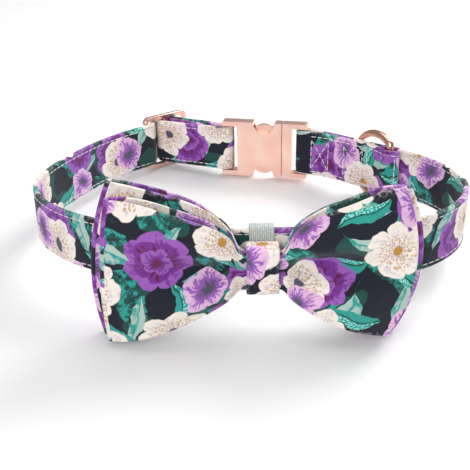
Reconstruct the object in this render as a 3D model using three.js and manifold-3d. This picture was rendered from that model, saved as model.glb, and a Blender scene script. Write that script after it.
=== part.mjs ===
// Pet bow tie collar: a flowered strap with a bow in front and rose gold fittings behind.
//
// Millimetres, +Z up. The collar stands on its edge with the bow towards -Y.
// The strap is drawn flat, as its plan seen from above, and raised by its width.
// The finished loop is then leaned back, because the bow is taller than the strap
// and lifts the front of the loop off the surface.

import * as THREE from 'three';
import { mergeVertices } from 'three/addons/utils/BufferGeometryUtils.js';
import Module from 'manifold-3d';

const wasm = await Module();
wasm.setup();

// Driving dimensions

const GAP = 0.3;
const SEAM_SPACE = 0.4;

const STRAP_WIDTH = 20;
const STRAP_THICKNESS = 2;
const STRAP_MIDDLE = STRAP_WIDTH / 2;
const STRAP_STEP = 0.7;
const SEWN_STEP = 0.5;

const BUCKLE_LENGTH = 39;
const BUCKLE_HEIGHT = 25.3;
const BUCKLE_THICKNESS = 5.6;
const BUCKLE_BAR_DIAMETER = 3;
const BUCKLE_SLOT_LENGTH = 4.2;
const BUCKLE_SLOT_HEIGHT = 21;
const BUCKLE_SLOT_CORNER = 0.6;
const BUCKLE_CORNER = 1;
const BUCKLE_SPLIT = 7.9;
const BUCKLE_CENTRE = new THREE.Vector2(14.2, 71.5);
const BUCKLE_ANGLE = THREE.MathUtils.degToRad(-12);

const NOTCH_RADIUS = 4.9;
const NOTCH_PLACE = -0.3;
const SOCKET_DEPTH = 16;
const SOCKET_HEIGHT = 22;
const SOCKET_THICKNESS = 3;
const PRONG_THICKNESS = SOCKET_THICKNESS - 2 * GAP;
const PRONG_TIP = -6.5;
const GUIDE_HEIGHT = 6;
const ARM_DEPTH = 3;
const TIP_DEPTH = 1.6;
const PAD_HALF_LENGTH = 3.4;
const PAD_RISE = 2.2;

const SLIDE_LENGTH = 24.2;
const SLIDE_HEIGHT = 25;
const SLIDE_BAR = 2.2;
const SLIDE_SLOT_HEIGHT = 21;
const SLIDE_CORNER = 3;
const SLIDE_SLOT_CORNER = 1;
const SLIDE_CENTRE = new THREE.Vector2(-32.3, 87.3);
const SLIDE_ANGLE = THREE.MathUtils.degToRad(41);

const SEWN_END_LENGTH = 20;

const RING_WIRE = 3.2;
const RING_HEIGHT = 31;
const RING_DEPTH = 25;
const RING_CORNER = 2;
const RING_LEAN = THREE.MathUtils.degToRad(16);
const RING_DISTANCE = 42.4;
const RING_BAR_PARTS = [-0.8, -0.4, 0, 0.4, 0.8, 1];
const RING_STEP = 1.1;
const POCKET_START = 2;
const POCKET_TAIL = 5.6;
const POCKET_SPREAD = 4.2;
const POCKET_BUMP = 1.2;
const FLARE_LENGTH = 7;

const CLOTH = 1.3;
const CLOTH_PITCH = CLOTH + GAP;
const BOW_ALONG = 8.5;
const BOW_HEIGHT = 9.6;
const STRAP_FRONT = -37.6;
const KNOT_WIDTH = 10.4;
const KNOT_HEIGHT = 17.6;
const KNOT_CLOTH = 1.2;
const KNOT_CORNER = 2.2;
const PLEAT_AT_KNOT = 1.5;
const ELASTIC = 0.9;
const ELASTIC_WIDTH = 8;
const ELASTIC_CORNER = 1.2;

const LOOP_LEAN = THREE.MathUtils.degToRad(-4.88);

// The strap's course round the neck, from the slide on the left to the buckle on the right

const NECK_COURSE = [
  { x: -47.6, y: 69.4 },
  { x: -55.2, y: 59.6 },
  { x: -62.0, y: 48.0 },
  { x: -67.8, y: 35.5 },
  { x: -72.4, y: 22.0 },
  { x: -74.0, y: 9.5 },
  { x: -72.0, y: -1.5 },
  { x: -66.0, y: -12.0 },
  { x: -56.5, y: -21.5 },
  { x: -43.5, y: -29.2 },
  { x: -26.0, y: -34.8 },
  { x: -8.0, y: -37.3 },
  { x: 8.5, y: -37.6 },
  { x: 26.0, y: -37.3 },
  { x: 44.0, y: -35.6 },
  { x: 59.0, y: -31.6 },
  { x: 71.0, y: -24.0 },
  { x: 80.0, y: -13.0 },
  { x: 84.6, y: 0.5 },
  { x: 83.6, y: 13.5 },
  { x: 78.6, y: 25.5 },
  { x: 70.6, y: 35.8 },
  { x: 60.6, y: 45.6 },
  { x: 50.6, y: 55.0 },
  { x: 42.0, y: 62.8 },
];

// The bow's wings: rows run from the knot to the tip, as a part of the wing's length.
// top and bottom are the edges' heights over the knot's middle, forward is how far the
// wing's middle comes out of the knot's plane, belly is half the space between the two
// panels, pleat the depth of the long fold that runs out of the knot, and lobe how far
// the cloth swells out above and below that fold.

const FRONT_LEFT_WING = [
  { along: 0.0, top: 6.6, bottom: -6.6, forward: 0.0, belly: 0.8, pleat: 1.5, lobe: 0.0 },
  { along: 0.15, top: 6.8, bottom: -6.8, forward: 0.0, belly: 0.8, pleat: 1.5, lobe: 0.0 },
  { along: 0.24, top: 13.4, bottom: -11.6, forward: 1.7, belly: 1.3, pleat: 3.4, lobe: 1.2 },
  { along: 0.42, top: 18.8, bottom: -16.6, forward: 3.0, belly: 2.2, pleat: 3.4, lobe: 2.0 },
  { along: 0.65, top: 22.8, bottom: -20.6, forward: 3.8, belly: 2.7, pleat: 2.0, lobe: 1.6 },
  { along: 0.85, top: 25.5, bottom: -23.2, forward: 3.6, belly: 2.2, pleat: 0.8, lobe: 0.8 },
  { along: 1.0, top: 26.4, bottom: -24.2, forward: 3.0, belly: 1.1, pleat: 0.2, lobe: 0.2 },
];

const FRONT_RIGHT_WING = [
  { along: 0.0, top: 6.6, bottom: -6.6, forward: 0.0, belly: 0.8, pleat: 1.5, lobe: 0.0 },
  { along: 0.155, top: 6.8, bottom: -6.8, forward: 0.0, belly: 0.8, pleat: 1.5, lobe: 0.0 },
  { along: 0.26, top: 15.0, bottom: -12.2, forward: 1.7, belly: 1.3, pleat: 3.4, lobe: 1.4 },
  { along: 0.44, top: 20.8, bottom: -17.0, forward: 3.0, belly: 2.2, pleat: 3.6, lobe: 2.2 },
  { along: 0.66, top: 24.7, bottom: -20.4, forward: 3.8, belly: 2.7, pleat: 2.2, lobe: 1.8 },
  { along: 0.86, top: 27.8, bottom: -22.6, forward: 3.6, belly: 2.2, pleat: 0.8, lobe: 0.8 },
  { along: 1.0, top: 29.0, bottom: -24.2, forward: 3.0, belly: 1.1, pleat: 0.2, lobe: 0.2 },
];

const BACK_LEFT_WING = [
  { along: 0.0, top: 6.6, bottom: -6.6, forward: 0.0, belly: 0.8, pleat: 1.5, lobe: 0.0 },
  { along: 0.15, top: 6.8, bottom: -6.8, forward: 0.0, belly: 0.8, pleat: 1.5, lobe: 0.0 },
  { along: 0.24, top: 13.8, bottom: -10.8, forward: -0.8, belly: 1.0, pleat: 2.6, lobe: 0.8 },
  { along: 0.42, top: 20.2, bottom: -15.4, forward: -1.2, belly: 1.4, pleat: 2.2, lobe: 0.8 },
  { along: 0.65, top: 25.1, bottom: -19.8, forward: -1.4, belly: 1.8, pleat: 1.3, lobe: 0.5 },
  { along: 0.85, top: 28.1, bottom: -22.8, forward: -1.0, belly: 1.7, pleat: 0.5, lobe: 0.3 },
  { along: 1.0, top: 29.4, bottom: -23.8, forward: -0.4, belly: 1.1, pleat: 0.0, lobe: 0.0 },
];

const BACK_RIGHT_WING = [
  { along: 0.0, top: 6.6, bottom: -6.6, forward: 0.0, belly: 0.8, pleat: 1.5, lobe: 0.0 },
  { along: 0.15, top: 6.8, bottom: -6.8, forward: 0.0, belly: 0.8, pleat: 1.5, lobe: 0.0 },
  { along: 0.24, top: 13.2, bottom: -11.0, forward: -0.8, belly: 1.0, pleat: 2.6, lobe: 0.8 },
  { along: 0.42, top: 18.3, bottom: -15.6, forward: -1.2, belly: 1.4, pleat: 2.2, lobe: 0.8 },
  { along: 0.65, top: 22.4, bottom: -19.6, forward: -1.4, belly: 1.8, pleat: 1.3, lobe: 0.5 },
  { along: 0.85, top: 24.8, bottom: -22.0, forward: -1.0, belly: 1.7, pleat: 0.5, lobe: 0.3 },
  { along: 1.0, top: 25.6, bottom: -22.8, forward: -0.4, belly: 1.1, pleat: 0.0, lobe: 0.0 },
];

// Tips: the wing's length from the knot's middle at its top corner, middle and bottom corner
const FRONT_TIPS = {
  left: { top: 46.6, middle: 49.9, bottom: 49.2 },
  right: { top: 41.6, middle: 46.9, bottom: 40.2 },
};
const BACK_TIPS = {
  left: { top: 46.8, middle: 53.6, bottom: 51.4 },
  right: { top: 45.0, middle: 50.2, bottom: 43.4 },
};
const TIP_FOLD_RADIUS = 1.1;
const PLEAT_SPREAD = 0.28;
const PANEL_STEPS = 11;
const FOLD_STEPS = 4;
const HEIGHT_STEPS = 12;

// Materials

const cloth = (name, color) => new THREE.MeshStandardMaterial({ name, color, roughness: 0.85, metalness: 0 });
const metal = (name, color, roughness) => new THREE.MeshStandardMaterial({ name, color, roughness, metalness: 1 });

// Geometry helpers

// A place on the plan with a direction of its own: u runs along it and w out of the loop.
class PlanFrame {
  constructor(centre, angle) {
    this.centre = centre;
    this.angle = angle;
  }

  at(u, w) {
    return new THREE.Vector2(u, w).rotateAround(new THREE.Vector2(0, 0), this.angle).add(this.centre);
  }
}

const onCircle = (centre, radius, angle) =>
  new THREE.Vector2(centre.x + radius * Math.cos(angle), centre.y + radius * Math.sin(angle));

// Angle, seen from the first centre, of the line that touches two circles, on the right of
// its course with side -1 and on the left with side 1. A negative second radius crosses over.
function tangent(from, fromRadius, to, toRadius, side) {
  const line = to.clone().sub(from);
  return line.angle() + side * Math.acos((fromRadius - toRadius) / line.length());
}

// Unit normals on the right-hand side of a line of points.
function rightNormals(points, closed = false) {
  const count = points.length;
  return points.map((point, i) => {
    const before = points[closed ? (i + count - 1) % count : Math.max(i - 1, 0)];
    const after = points[closed ? (i + 1) % count : Math.min(i + 1, count - 1)];
    const along = after.clone().sub(before).normalize();
    return new THREE.Vector2(along.y, -along.x);
  });
}

// The line moved to its right by a distance, or by a distance worked out for each point.
function offset(points, distance) {
  const normals = rightNormals(points);
  const away = typeof distance === 'function' ? distance : () => distance;
  return points.map((point, i) => point.clone().addScaledVector(normals[i], away(i)));
}

// Leaves out points that lie closer together than the given step, but keeps both ends.
function thinOut(points, step) {
  const kept = [points[0]];
  points.slice(1, -1).forEach((point) => {
    if (point.distanceTo(kept.at(-1)) >= step) {
      kept.push(point);
    }
  });
  const end = points.at(-1);
  if (end.distanceTo(kept.at(-1)) < step / 2) {
    kept.pop();
  }
  kept.push(end);
  return kept;
}

// A strip of webbing on edge: its plan line thickened and raised by the strap's width.
function webbing(points) {
  const rightFace = offset(points, STRAP_THICKNESS / 2);
  const leftFace = offset(points, -STRAP_THICKNESS / 2).reverse();
  return new THREE.ExtrudeGeometry(new THREE.Shape([...rightFace, ...leftFace]), {
    depth: STRAP_WIDTH,
    bevelEnabled: false,
  });
}

function roundedRectangle(path, x, y, width, height, radius) {
  const w = width / 2 - radius;
  const h = height / 2 - radius;
  path.absarc(x + w, y + h, radius, 0, Math.PI / 2);
  path.absarc(x - w, y + h, radius, Math.PI / 2, Math.PI);
  path.absarc(x - w, y - h, radius, Math.PI, 1.5 * Math.PI);
  path.absarc(x + w, y - h, radius, 1.5 * Math.PI, 2 * Math.PI);
  return path;
}

// A plate standing on edge, drawn in length and height, with its thickness across.
function plate(shape, thickness, curveSegments = 4) {
  return new THREE.ExtrudeGeometry(shape, { depth: thickness, bevelEnabled: false, curveSegments })
    .translate(0, 0, -thickness / 2)
    .rotateX(Math.PI / 2);
}

// A band bent round the X axis, drawn in depth and height, with its width along X.
function bandAlongX(shape, width) {
  const depthHeightWidth = new THREE.Matrix4().makeBasis(
    new THREE.Vector3(0, 1, 0),
    new THREE.Vector3(0, 0, 1),
    new THREE.Vector3(1, 0, 0),
  );
  return new THREE.ExtrudeGeometry(shape, { depth: width, bevelEnabled: false, curveSegments: 4 })
    .translate(0, 0, -width / 2)
    .applyMatrix4(depthHeightWidth);
}

function toSolid(geometry) {
  const bare = geometry.clone();
  bare.deleteAttribute('normal');
  bare.deleteAttribute('uv');
  const merged = mergeVertices(bare, 1e-4);
  return new wasm.Manifold(new wasm.Mesh({
    numProp: 3,
    vertProperties: Float32Array.from(merged.attributes.position.array),
    triVerts: Uint32Array.from(merged.index.array),
  }));
}

function toGeometry(solid) {
  const mesh = solid.getMesh();
  const geometry = new THREE.BufferGeometry();
  geometry.setAttribute('position', new THREE.BufferAttribute(Float32Array.from(mesh.vertProperties), 3));
  geometry.setIndex(Array.from(mesh.triVerts));
  return geometry.toNonIndexed();
}

function piece(name, geometry, material) {
  geometry.computeVertexNormals();
  const mesh = new THREE.Mesh(geometry, material);
  mesh.name = name;
  return mesh;
}

// Places that several pieces share

const degrees = THREE.MathUtils.degToRad;
const buckleFrame = new PlanFrame(BUCKLE_CENTRE, BUCKLE_ANGLE);
const slideFrame = new PlanFrame(SLIDE_CENTRE, SLIDE_ANGLE);

const buckleBarPlace = BUCKLE_LENGTH / 2 - BUCKLE_BAR_DIAMETER / 2;
const socketBar = buckleFrame.at(-buckleBarPlace, 0);
const prongBar = buckleFrame.at(buckleBarPlace, 0);
const slideBarPlace = (SLIDE_LENGTH - SLIDE_BAR) / 2;
const slideLeftBar = slideFrame.at(-slideBarPlace, 0);

const buckleWrap = BUCKLE_BAR_DIAMETER / 2 + GAP + STRAP_THICKNESS / 2;
const slideWrap = SLIDE_BAR / Math.SQRT2 + GAP + STRAP_THICKNESS / 2;
const slideOuterWrap = slideWrap + GAP + STRAP_THICKNESS;
const ringWrap = RING_WIRE / 2 + GAP + STRAP_THICKNESS / 2;
const layerPitch = STRAP_THICKNESS + GAP;

// Strap: one strip in three lengths, which meet in the middle of the buckle's two slots

const slotSeam = SEAM_SPACE / (buckleWrap - STRAP_THICKNESS / 2);
const socketSlot = BUCKLE_ANGLE;
const prongSlot = BUCKLE_ANGLE + Math.PI;
const arriveAtProngs = degrees(50);
const leaveLeftBar = degrees(316);

// From the prongs' bar back round the neck, over the slide's middle bar and to the socket's bar
function neckLine() {
  const leaveSocket = tangent(socketBar, buckleWrap, SLIDE_CENTRE, slideOuterWrap, -1);
  const leaveSlide = tangent(SLIDE_CENTRE, slideOuterWrap, slideLeftBar, -slideWrap, -1);
  const toProngs = onCircle(prongBar, buckleWrap, arriveAtProngs);
  const line = new THREE.Path();
  line.absarc(socketBar.x, socketBar.y, buckleWrap, socketSlot + slotSeam, leaveSocket, false);
  line.absarc(SLIDE_CENTRE.x, SLIDE_CENTRE.y, slideOuterWrap, leaveSocket, leaveSlide, false);
  line.absarc(slideLeftBar.x, slideLeftBar.y, slideWrap, leaveSlide + Math.PI, leaveLeftBar, true);
  line.splineThru(NECK_COURSE.map(({ x, y }) => new THREE.Vector2(x, y)));
  line.lineTo(toProngs.x, toProngs.y);
  line.absarc(prongBar.x, prongBar.y, buckleWrap, arriveAtProngs, prongSlot - slotSeam, false);
  return thinOut(line.getPoints(5), STRAP_STEP).reverse();
}

const neck = neckLine();
const neckLengths = neck.reduce((lengths, point, i) => {
  lengths.push(i === 0 ? 0 : lengths[i - 1] + point.distanceTo(neck[i - 1]));
  return lengths;
}, []);
const prongWrapLength = buckleWrap * (prongSlot - slotSeam - arriveAtProngs);
const ringStation = neckLengths.findIndex((length) => length > prongWrapLength + RING_DISTANCE);
const fromRing = (i) => neckLengths[i] - neckLengths[ringStation];
const swell = (i) => Math.exp(-((fromRing(i) / POCKET_SPREAD) ** 2));
const flare = (i) => Math.exp(-(((neckLengths[i] - prongWrapLength) / FLARE_LENGTH) ** 2));

const neckStrapLine = offset(neck, (i) => -POCKET_BUMP * swell(i));

// The second layer: inside the strap from the prongs' bar to just past the ring's bar
function pocketStrapLine() {
  const swelling = 2 * ringWrap - POCKET_BUMP - layerPitch;
  const flaring = 2 * buckleWrap - layerPitch;
  const layer = offset(neck, (i) => layerPitch + swelling * swell(i) + flaring * flare(i));
  const start = prongWrapLength + POCKET_START;
  const end = neckLengths[ringStation] + POCKET_TAIL;
  const free = layer.filter((point, i) => neckLengths[i] > start && neckLengths[i] < end);
  const line = new THREE.Path();
  line.absarc(prongBar.x, prongBar.y, buckleWrap, prongSlot + slotSeam, arriveAtProngs + Math.PI, false);
  line.splineThru(free);
  return thinOut(line.getPoints(2), STRAP_STEP);
}

// From the socket's bar along the inside to the slide's middle bar, round it and sewn back down
function slideStrapLine() {
  const leaveSocket = tangent(socketBar, buckleWrap, SLIDE_CENTRE, slideWrap, 1);
  const reach = onCircle(SLIDE_CENTRE, slideWrap, leaveSocket);
  const closing = Math.atan((2 * slideWrap - layerPitch) / SEWN_END_LENGTH);
  const sewnEnd = reach.clone()
    .addScaledVector(onCircle(new THREE.Vector2(), 1, leaveSocket + Math.PI / 2), SEWN_END_LENGTH)
    .addScaledVector(onCircle(new THREE.Vector2(), 1, leaveSocket + Math.PI), layerPitch);
  const line = new THREE.Path();
  line.absarc(socketBar.x, socketBar.y, buckleWrap, socketSlot - slotSeam, leaveSocket, true);
  line.absarc(SLIDE_CENTRE.x, SLIDE_CENTRE.y, slideWrap, leaveSocket, leaveSocket + Math.PI - closing, true);
  line.lineTo(sewnEnd.x, sewnEnd.y);
  return thinOut(line.getPoints(7), SEWN_STEP);
}

// Buckle, drawn in its own frame: length along X, thickness along Y, height along Z

function slotHole(place) {
  const hole = new THREE.Path();
  return roundedRectangle(hole, place, 0, BUCKLE_SLOT_LENGTH, BUCKLE_SLOT_HEIGHT, BUCKLE_SLOT_CORNER);
}

// The strap's bar is round, and thinner than the plate at whose end it stands.
function withRoundBar(solid, end) {
  const place = end * buckleBarPlace;
  const radius = BUCKLE_BAR_DIAMETER / 2;
  const rooted = BUCKLE_SLOT_HEIGHT + 2 * GAP;
  const recess = new THREE.BoxGeometry(BUCKLE_BAR_DIAMETER + 2, BUCKLE_THICKNESS + 1, BUCKLE_SLOT_HEIGHT);
  const bar = new THREE.CylinderGeometry(radius, radius, rooted, 14).rotateX(Math.PI / 2);
  return solid
    .subtract(toSolid(recess.translate(place, 0, 0)))
    .add(toSolid(bar.translate(place, 0, 0)));
}

function socketGeometry() {
  const start = -BUCKLE_LENGTH / 2;
  const top = BUCKLE_HEIGHT / 2;
  const corner = start + BUCKLE_CORNER;
  const notchStart = NOTCH_PLACE - NOTCH_RADIUS;
  const outline = new THREE.Shape();
  outline.moveTo(corner, -top);
  outline.lineTo(notchStart, -top);
  outline.absarc(NOTCH_PLACE, -top, NOTCH_RADIUS, Math.PI, 0, true);
  outline.lineTo(BUCKLE_SPLIT, -top);
  outline.lineTo(BUCKLE_SPLIT, top);
  outline.absarc(NOTCH_PLACE, top, NOTCH_RADIUS, 0, Math.PI, true);
  outline.lineTo(corner, top);
  outline.absarc(corner, top - BUCKLE_CORNER, BUCKLE_CORNER, Math.PI / 2, Math.PI, false);
  outline.absarc(corner, BUCKLE_CORNER - top, BUCKLE_CORNER, Math.PI, 1.5 * Math.PI, false);
  outline.holes.push(slotHole(start + BUCKLE_BAR_DIAMETER + BUCKLE_SLOT_LENGTH / 2));
  const mouth = new THREE.BoxGeometry(2 * SOCKET_DEPTH, SOCKET_THICKNESS, SOCKET_HEIGHT)
    .translate(BUCKLE_SPLIT, 0, 0);
  const body = toSolid(plate(outline, BUCKLE_THICKNESS, 7)).subtract(toSolid(mouth));
  return toGeometry(withRoundBar(body, -1));
}

// One side's spring prong: an arm with a finger pad that shows in the notch, and a hooked tip.
function prongShape() {
  const arm = new THREE.Shape();
  const root = BUCKLE_SPLIT + 1;
  const rim = SOCKET_HEIGHT / 2 - 2 * GAP;
  arm.moveTo(root, rim - ARM_DEPTH);
  arm.lineTo(root, rim);
  arm.lineTo(NOTCH_PLACE + PAD_HALF_LENGTH, rim);
  arm.quadraticCurveTo(NOTCH_PLACE, rim + PAD_RISE, NOTCH_PLACE - PAD_HALF_LENGTH, rim);
  arm.lineTo(PRONG_TIP, rim - TIP_DEPTH);
  arm.lineTo(PRONG_TIP, rim - ARM_DEPTH);
  return arm;
}

function prongGeometry() {
  const start = BUCKLE_SPLIT + GAP;
  const end = BUCKLE_LENGTH / 2;
  const corner = end - BUCKLE_CORNER;
  const top = BUCKLE_HEIGHT / 2;
  const outline = new THREE.Shape();
  outline.moveTo(start, -top);
  outline.lineTo(corner, -top);
  outline.absarc(corner, BUCKLE_CORNER - top, BUCKLE_CORNER, 1.5 * Math.PI, 2 * Math.PI, false);
  outline.absarc(corner, top - BUCKLE_CORNER, BUCKLE_CORNER, 0, Math.PI / 2, false);
  outline.lineTo(start, top);
  outline.holes.push(slotHole(end - BUCKLE_BAR_DIAMETER - BUCKLE_SLOT_LENGTH / 2));
  const upper = plate(prongShape(), PRONG_THICKNESS, 6);
  const lower = upper.clone().rotateX(Math.PI);
  const guideLength = start - PRONG_TIP + 1;
  const guide = new THREE.BoxGeometry(guideLength, PRONG_THICKNESS, GUIDE_HEIGHT)
    .translate(PRONG_TIP + guideLength / 2, 0, 0);
  const body = toSolid(plate(outline, BUCKLE_THICKNESS, 4))
    .add(toSolid(upper))
    .add(toSolid(lower))
    .add(toSolid(guide));
  return toGeometry(withRoundBar(body, 1));
}

// Slide and ring

function slideGeometry() {
  const outline = roundedRectangle(new THREE.Shape(), 0, 0, SLIDE_LENGTH, SLIDE_HEIGHT, SLIDE_CORNER);
  const slotLength = (SLIDE_LENGTH - 3 * SLIDE_BAR) / 2;
  const slotPlace = (slotLength + SLIDE_BAR) / 2;
  [-slotPlace, slotPlace].forEach((place) => {
    const hole = new THREE.Path();
    outline.holes.push(roundedRectangle(hole, place, 0, slotLength, SLIDE_SLOT_HEIGHT, SLIDE_SLOT_CORNER));
  });
  return plate(outline, SLIDE_BAR, 4);
}

// The ring's wire: a straight bar on the hinge line, two small corners and a bow of more than half a circle.
function ringGeometry() {
  const bow = (RING_HEIGHT - RING_WIRE) / 2;
  const bowPlace = RING_DEPTH - RING_WIRE - bow;
  const corner = Math.sqrt((bow - RING_CORNER) ** 2 - (bowPlace - RING_CORNER) ** 2);
  const turn = Math.atan2(corner, RING_CORNER - bowPlace);
  const line = new THREE.Path();
  line.moveTo(0, -corner);
  RING_BAR_PARTS.forEach((part) => line.lineTo(0, part * corner));
  line.absarc(RING_CORNER, corner, RING_CORNER, Math.PI, turn, true);
  line.absarc(bowPlace, 0, bow, turn, -turn, true);
  line.absarc(RING_CORNER, -corner, RING_CORNER, -turn, -Math.PI, true);
  const upright = thinOut(line.getPoints(14), RING_STEP).slice(0, -1)
    .map(({ x, y }) => new THREE.Vector3(x, 0, y));
  const wire = new THREE.CatmullRomCurve3(upright, true, 'centripetal');
  return new THREE.TubeGeometry(wire, 72, RING_WIRE / 2, 10, true);
}

// Bow

// A column's value part of the way through the rows, as a smooth curve through them
function column(rows, name, part) {
  const values = rows.map((row) => new THREE.Vector2(row[name], 0));
  return new THREE.SplineCurve(values).getPoint(part).x;
}

// A wing's length at one height between its bottom corner, at -1, and its top corner, at 1
function wingLength(tip, height) {
  const lean = (tip.top - tip.bottom) / 2;
  const bulge = (tip.top + tip.bottom) / 2 - tip.middle;
  return tip.middle + lean * height + bulge * height ** 2;
}

// One place on a wing's panel. Side is -1 for the left wing, face is -1 for the front panel.
function panelPoint(wing, part, height, face, plane) {
  const at = (name) => column(wing.rows, name, part);
  const fold = at('pleat') * Math.exp(-((height / PLEAT_SPREAD) ** 2))
    - at('lobe') * Math.sin(Math.PI * height) ** 2;
  const length = wingLength(wing.tip, height) - TIP_FOLD_RADIUS;
  const middle = (at('top') + at('bottom')) / 2;
  const half = (at('top') - at('bottom')) / 2;
  return {
    x: wing.side * at('along') * length,
    y: plane - at('forward') + face * at('belly') + fold,
    z: middle + half * height,
  };
}

// The rounded fold at a wing's tip, between its two panels
function foldPoints(wing, height, plane) {
  const front = panelPoint(wing, 1, height, -1, plane);
  const back = panelPoint(wing, 1, height, 1, plane);
  const middle = (front.y + back.y) / 2;
  const radius = (back.y - front.y) / 2;
  const points = [];
  for (let step = 1; step < FOLD_STEPS; step += 1) {
    const turn = -Math.PI / 2 + (Math.PI * step) / FOLD_STEPS;
    points.push({
      x: front.x + wing.side * radius * Math.cos(turn),
      y: middle + radius * Math.sin(turn),
      z: front.z,
    });
  }
  return wing.side > 0 ? points : points.reverse();
}

// One level of a bow's closed strip: front panel, right fold, back panel, left fold
function bowLevel(left, right, height, plane) {
  const steps = Array.from({ length: PANEL_STEPS + 1 }, (_, i) => i / PANEL_STEPS);
  const inwards = steps.slice(1).reverse();
  const panel = (wing, parts, face) => parts.map((part) => panelPoint(wing, part, height, face, plane));
  return [
    ...panel(left, inwards, -1),
    ...panel(right, steps, -1),
    ...foldPoints(right, height, plane),
    ...panel(right, inwards, 1),
    ...panel(left, steps, 1),
    ...foldPoints(left, height, plane),
  ];
}

// A bow is a flat closed strip of cloth, pinched at the knot and open above and below.
function bowGeometry(left, right, plane) {
  const positions = [];
  const levels = HEIGHT_STEPS + 1;
  let count = 0;
  for (let level = 0; level < levels; level += 1) {
    const points = bowLevel(left, right, (2 * level) / HEIGHT_STEPS - 1, plane);
    const normals = rightNormals(points.map(({ x, y }) => new THREE.Vector2(x, y)), true);
    count = points.length;
    [CLOTH / 2, -CLOTH / 2].forEach((away) => {
      points.forEach(({ x, y, z }, i) => {
        positions.push(x + normals[i].x * away, y + normals[i].y * away, z);
      });
    });
  }
  const vertex = (level, face, i) => (2 * level + face) * count + (i % count);
  const index = [];
  const quad = (a, b, c, d) => index.push(a, b, c, a, c, d);
  for (let i = 0; i < count; i += 1) {
    for (let level = 0; level < HEIGHT_STEPS; level += 1) {
      const above = level + 1;
      quad(vertex(level, 0, i), vertex(level, 0, i + 1), vertex(above, 0, i + 1), vertex(above, 0, i));
      quad(vertex(level, 1, i + 1), vertex(level, 1, i), vertex(above, 1, i), vertex(above, 1, i + 1));
    }
    const top = HEIGHT_STEPS;
    quad(vertex(top, 0, i), vertex(top, 0, i + 1), vertex(top, 1, i + 1), vertex(top, 1, i));
    quad(vertex(0, 0, i + 1), vertex(0, 0, i), vertex(0, 1, i), vertex(0, 1, i + 1));
  }
  const geometry = new THREE.BufferGeometry();
  geometry.setAttribute('position', new THREE.Float32BufferAttribute(positions, 3));
  geometry.setIndex(index);
  return geometry.toNonIndexed().translate(BOW_ALONG, 0, BOW_HEIGHT);
}

// Depths through the knot, from the strap forwards
const elasticReach = STRAP_THICKNESS / 2 + GAP + ELASTIC;
const knotBack = STRAP_FRONT - elasticReach - GAP;
const backPlane = knotBack - KNOT_CLOTH - GAP - CLOTH / 2 - PLEAT_AT_KNOT - CLOTH_PITCH / 2;
const frontPlane = backPlane - 2 * CLOTH_PITCH;
const knotFront = frontPlane - CLOTH_PITCH / 2 - CLOTH / 2 - GAP - KNOT_CLOTH;

function bandSection(middle, depth, height, thickness, radius) {
  const section = roundedRectangle(new THREE.Shape(), middle.x, middle.y, depth, height, radius);
  const inside = roundedRectangle(
    new THREE.Path(), middle.x, middle.y, depth - 2 * thickness, height - 2 * thickness, radius - thickness,
  );
  section.holes.push(inside);
  return section;
}

function knotGeometry() {
  const middle = new THREE.Vector2((knotBack + knotFront) / 2, BOW_HEIGHT);
  const section = bandSection(middle, knotBack - knotFront, KNOT_HEIGHT, KNOT_CLOTH, KNOT_CORNER);
  return bandAlongX(section, KNOT_WIDTH).translate(BOW_ALONG, 0, 0);
}

function elasticGeometry() {
  const middle = new THREE.Vector2(STRAP_FRONT, STRAP_MIDDLE);
  const height = STRAP_WIDTH + 2 * (GAP + ELASTIC);
  const section = bandSection(middle, 2 * elasticReach, height, ELASTIC, ELASTIC_CORNER);
  return bandAlongX(section, ELASTIC_WIDTH).translate(BOW_ALONG, 0, 0);
}

// Assembly

const printedCloth = cloth('printed_cloth', 0x2f7a74);
const paleElastic = cloth('pale_elastic', 0xd8d6d2);
const roseGold = metal('rose_gold', 0xfbcfbd, 0.32);
const copperGold = metal('copper_gold', 0xe0a48a, 0.18);

const loop = new THREE.Group();

loop.add(piece('neck_strap', webbing(neckStrapLine), printedCloth));
loop.add(piece('pocket_strap', webbing(pocketStrapLine()), printedCloth));
loop.add(piece('slide_strap', webbing(slideStrapLine()), printedCloth));

const buckle = new THREE.Group();
buckle.position.set(BUCKLE_CENTRE.x, BUCKLE_CENTRE.y, STRAP_MIDDLE);
buckle.rotation.z = BUCKLE_ANGLE;
buckle.add(piece('buckle_socket', socketGeometry(), roseGold));
buckle.add(piece('buckle_prongs', prongGeometry(), roseGold));
loop.add(buckle);

const slide = piece('strap_slide', slideGeometry(), roseGold);
slide.position.set(SLIDE_CENTRE.x, SLIDE_CENTRE.y, STRAP_MIDDLE);
slide.rotation.z = SLIDE_ANGLE;
loop.add(slide);

const ringNormal = rightNormals(neck)[ringStation];
const ringPlace = neck[ringStation].clone().addScaledVector(ringNormal, ringWrap - POCKET_BUMP);
const ring = piece('leash_ring', ringGeometry(), copperGold);
ring.position.set(ringPlace.x, ringPlace.y, STRAP_MIDDLE);
ring.rotation.z = ringNormal.angle() - Math.PI / 2 - RING_LEAN;
loop.add(ring);

const frontLeft = { rows: FRONT_LEFT_WING, tip: FRONT_TIPS.left, side: -1 };
const frontRight = { rows: FRONT_RIGHT_WING, tip: FRONT_TIPS.right, side: 1 };
const backLeft = { rows: BACK_LEFT_WING, tip: BACK_TIPS.left, side: -1 };
const backRight = { rows: BACK_RIGHT_WING, tip: BACK_TIPS.right, side: 1 };
loop.add(piece('front_bow', bowGeometry(frontLeft, frontRight, frontPlane), printedCloth));
loop.add(piece('back_bow', bowGeometry(backLeft, backRight, backPlane), printedCloth));
loop.add(piece('bow_knot', knotGeometry(), printedCloth));
loop.add(piece('strap_elastic', elasticGeometry(), paleElastic));

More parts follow.
